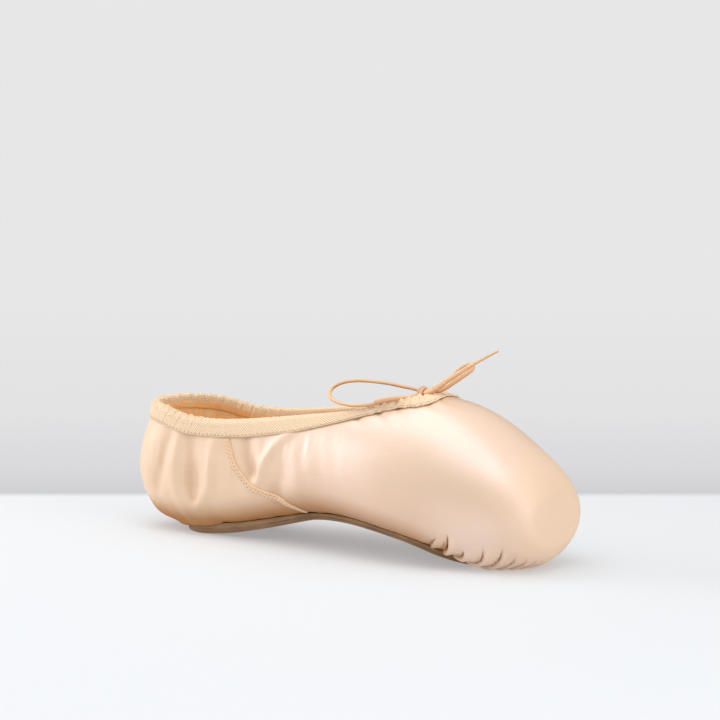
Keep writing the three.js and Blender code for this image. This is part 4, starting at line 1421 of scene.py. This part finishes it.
# The side seam: the quarter's satin laps over the vamp with a folded edge and two rows of stitches. Its
# places are degrees down from the ridge line and millimetres from the heel
SEAM = [
    (70.2, 69.0), (75.4, 71.2), (80.8, 73.6), (86.9, 78.4), (92, 83.3), (98.8, 90.5), (115.8, 103.1),
    (130, 108.2), (146, 110.5),
]
seam_x = curve_through(*zip(*SEAM))
SEAM_STEPS = 170
# Each row of stitches: millimetres behind the fold, and off the satin
SEAM_ROWS = [(0.95, 0.70), (2.45, 0.55)]
# The seam's section: millimetres behind the fold, and off the satin
SEAM_SECTION = [
    (0.0, -0.25), (-0.14, 0.10), (-0.16, 0.50), (0.06, 0.86), (0.42, 0.98), (0.72, 0.86), (0.95, 0.66),
    (1.18, 0.80), (1.55, 0.92), (1.95, 0.84), (2.25, 0.66), (2.45, 0.50), (2.65, 0.56), (2.95, 0.48),
    (3.25, 0.24), (3.5, -0.15), (3.0, -0.35),
]


def satin_point(station, angle, side):
    """A point of the finished satin, with its creases, and the surface's normal."""
    place = surface(station, angle)
    normal = surface_frame(station, angle)[2]
    off = soft_relief(place, station, angle, side) + hem_relief(place, station, angle, side)
    return place + normal * off[:, None], normal


def seam_line(side, behind, off):
    """The seam's fold line on the satin, moved back from the fold and off the cloth."""
    at = np.linspace(SEAM[0][0], SEAM[-1][0], SEAM_STEPS)
    line, normal = satin_point(station_of_x(seam_x(at)), np.radians(at), side)
    back = unit(np.cross(normal, unit(np.gradient(line, axis=0))))
    return line + back * behind + normal * off, normal


def make_side_seam(side, name, satin):
    rows = [seam_line(side, behind, off)[0] for behind, off in SEAM_SECTION]
    loops = sided(np.stack(rows, axis=1), side)
    around = length_along(np.array([*SEAM_SECTION, SEAM_SECTION[0]]))
    if side == LEFT:
        loops = loops[:, ::-1]
        around = around[::-1]
    piece = closed_loops("lapped_seam_" + name, loops, pairs(length_along(rows[0]), around), [satin])
    return finished(piece, "satin", "side_seam_" + name)


# Stitches: short rounded threads along a line, sunk at both ends. Each kind has its length and thickness
STITCH_SIDES = 8
STITCH_RINGS = 7
STITCH_RISE = 0.22
STITCH_SUNK = 0.16
STITCH_TIP = 0.45
STITCH_FLAT = 0.8
STITCH_GIRTH = 1.5
SEAM_STITCH = (1.45, 0.42)
BINDING_STITCH = (1.6, 0.34)
BINDING_STITCH_UP = 0.8
BINDING_STITCH_SUNK = 0.12


def stitches_on(line, normal, run, pitch, size, side, phase=0.0):
    """Tubes for every stitch along a line, between needle holes spaced evenly along its run."""
    length, thick = size
    starts = np.arange((pitch - length) / 2 + phase, run[-1] - length, pitch)
    share = np.linspace(0, 1, STITCH_RINGS)
    lift = np.sin(math.pi * share) * STITCH_RISE - STITCH_SUNK
    girth = thick * (STITCH_TIP + (1 - STITCH_TIP) * np.sin(math.pi * share) ** 0.5)
    for start in starts:
        at = start + length * share
        centre, out = (
            np.stack([np.interp(at, run, rows[:, k]) for k in range(3)], axis=1) for rows in (line, normal)
        )
        middle = centre + out * lift[:, None]
        rings = tube_rings(middle, girth, girth * STITCH_FLAT, STITCH_SIDES, out[STITCH_RINGS // 2])
        rings = sided(rings, side)
        yield rings, tube_cloth(rings.mean(axis=1), STITCH_GIRTH, STITCH_SIDES), False


def seam_stitches(side):
    run = length_along(seam_line(side, *SEAM_SECTION[0])[0])
    for row, (behind, off) in enumerate(SEAM_ROWS):
        line, normal = seam_line(side, behind, off)
        yield from stitches_on(line, normal, run, SEAM_PITCH, SEAM_STITCH, side, row * SEAM_PITCH / 2)


def binding_stitches(pitch):
    rim = rim_frames()
    run = rim[-1]
    sewn = (BINDING_DEPTH - BINDING_STITCH_UP) * narrowing(rim)
    for side in (LEFT, RIGHT):
        down = sewn + edge_waver(run, run[-1], side, sewn)
        puff = binding_relief(run, run[-1], side, down)[0]
        line = band_point(rim, BINDING_FACE - BINDING_STITCH_SUNK + puff, down)
        normal = surface_frame(rim[0] + rim[2] * down, rim[1] + rim[3] * down)[2]
        yield from stitches_on(line, normal, run, pitch, BINDING_STITCH, side)


def make_stitches(name, stitches, thread, slot):
    return finished(joined_tubes(name, stitches, thread), slot)


# The floor is pale and runs out behind the shoe; past a line it takes the tones of a plain wall, as does
# the low ring that stands far round it. Sizes here are in metres
STAGE_RADIUS = 15.0
STAGE_HEIGHT = 1.3
STAGE_SIDES = 96
WALL_FROM = (0.138, 0.152)
WALL_DEPTH = 1.6
# How far behind the shoe's middle, as a share of that depth, and the wall's tone there; the darker tones
# nearest the floor are a painted shadow where wall meets floor
WALL_TONES = [
    (0.09, (0.63, 0.63, 0.65, 1)),
    (0.15, (0.70, 0.70, 0.72, 1)),
    (0.30, (0.77, 0.765, 0.775, 1)),
    (0.80, (0.81, 0.80, 0.81, 1)),
]
FLOOR_TONE = (0.48, 0.49, 0.50, 1)
FLOOR_GLOW = 0.64


def stage_finish():
    finish = Finish("stage", Roughness=0.75, Specular_IOR_Level=0.2)
    place = finish.add("NewGeometry")
    away = (-math.sin(CAMERA_AZIMUTH), math.cos(CAMERA_AZIMUTH), 0)
    depth = finish.add("VectorMath", {0: place.outputs["Position"], 1: away}, operation="DOT_PRODUCT")
    distance = depth.outputs["Value"]
    ramp = finish.add("ValToRGB", {0: finish.spread(distance, 0.0, WALL_DEPTH)})
    tones = ramp.color_ramp.elements
    while len(tones) < len(WALL_TONES):
        tones.new(1.0)
    for element, (position, tone) in zip(tones, WALL_TONES):
        element.position = position
        element.color = tone
    # The wall glows with its tones, with a painted shadow along its foot
    wall = finish.add("Emission", {"Color": ramp})
    blend = finish.add("MixShader", {0: finish.spread(distance, *WALL_FROM), 1: finish.shader, 2: wall})
    finish.set(Base_Color=FLOOR_TONE, Emission_Color=FLOOR_TONE, Emission_Strength=FLOOR_GLOW)
    finish.tree.links.new(blend.outputs[0], finish.tree.nodes["Material Output"].inputs["Surface"])
    return finish


def make_stage():
    turns = np.linspace(0, 2 * math.pi, STAGE_SIDES, endpoint=False)
    ring = np.stack([STAGE_RADIUS * np.cos(turns), STAGE_RADIUS * np.sin(turns), 0 * turns], axis=1)
    upper = ring + [0, 0, STAGE_HEIGHT]
    faces = [list(range(STAGE_SIDES))]
    for i in range(STAGE_SIDES):
        after = (i + 1) % STAGE_SIDES
        faces.append([i, STAGE_SIDES + i, STAGE_SIDES + after, after])
    mesh = bpy.data.meshes.new("stage")
    mesh.from_pydata(np.concatenate([ring, upper]).tolist(), [], faces)
    mesh.materials.append(stage_finish().material)
    new_object("stage", mesh)


# The studio's soft boxes: where each stands in metres, its size, its turn in degrees and its power in watts
SOFT_BOXES = {
    "overhead": {"place": (-0.07, -0.27, 0.93), "size": (1.4, 0.7), "turn": -26, "power": 4.3},
    "heel": {"place": (-1.1, -0.4, 0.4), "size": (0.8, 0.7), "turn": 0, "power": 7.4},
    "toe": {"place": (1.0, -0.25, 0.42), "size": (0.9, 0.9), "turn": 0, "power": 4.5},
}
SHOE_MIDDLE = (0.0, 0.0, 0.035)
WORLD_TONE = (0.98, 0.99, 1.0, 1)
# The studio's ceiling is brighter than its sides: heights in the sky and how bright it is at each
SKY_RISE = (0.35, 0.75)
SKY_STRENGTH = (0.3, 0.82)


def soft_box(name, place, size, turn, power):
    """An area light that faces the shoe; one with a turn points down, turned about the upright."""
    data = bpy.data.lights.new(name, "AREA")
    data.shape = "RECTANGLE"
    data.size, data.size_y = size
    data.energy = power
    lamp = new_object(name, data)
    lamp.location = place
    lamp.rotation_mode = "QUATERNION"
    if turn:
        lamp.rotation_quaternion = Matrix.Rotation(math.radians(turn), 3, "Z").to_quaternion()
    else:
        lamp.rotation_quaternion = (Vector(place) - Vector(SHOE_MIDDLE)).to_track_quat("Z", "Y")


def make_light():
    for name, box in SOFT_BOXES.items():
        soft_box(name, **box)
    world = bpy.data.worlds.new("studio")
    world.use_nodes = True
    nodes = world.node_tree.nodes
    links = world.node_tree.links
    background = nodes["Background"]
    background.inputs["Color"].default_value = WORLD_TONE
    height = nodes.new("ShaderNodeSeparateXYZ")
    links.new(nodes.new("ShaderNodeTexCoord").outputs["Generated"], height.inputs[0])
    strength = nodes.new("ShaderNodeMapRange")
    links.new(height.outputs["Z"], strength.inputs["Value"])
    for socket, value in zip(("From Min", "From Max", "To Min", "To Max"), (*SKY_RISE, *SKY_STRENGTH)):
        strength.inputs[socket].default_value = value
    links.new(strength.outputs[0], background.inputs["Strength"])
    bpy.context.scene.world = world
    bpy.context.scene.view_settings.view_transform = "Standard"


def main():
    make_camera()
    make_bow(elastic_finish())
    satin = satin_finish()
    lining = lining_finish()
    thread = thread_finish()
    total = rim_places()[1][-1]
    pitch = total / round(total / BINDING_PITCH)
    make_upper(satin, lining)
    make_binding(twill_finish(pitch), lining)
    make_stitches("binding_stitches", binding_stitches(pitch), thread, "casing")
    make_outsole(leather_finish("sole_edge"), leather_finish("sole_leather"))
    make_insole(board_finish())
    seam_satin = seam_finish()
    for side, name in ((LEFT, "left"), (RIGHT, "right")):
        make_side_seam(side, name, seam_satin)
        make_stitches("seam_stitches_" + name, seam_stitches(side), thread, "satin")
    make_stage()
    make_light()


main()
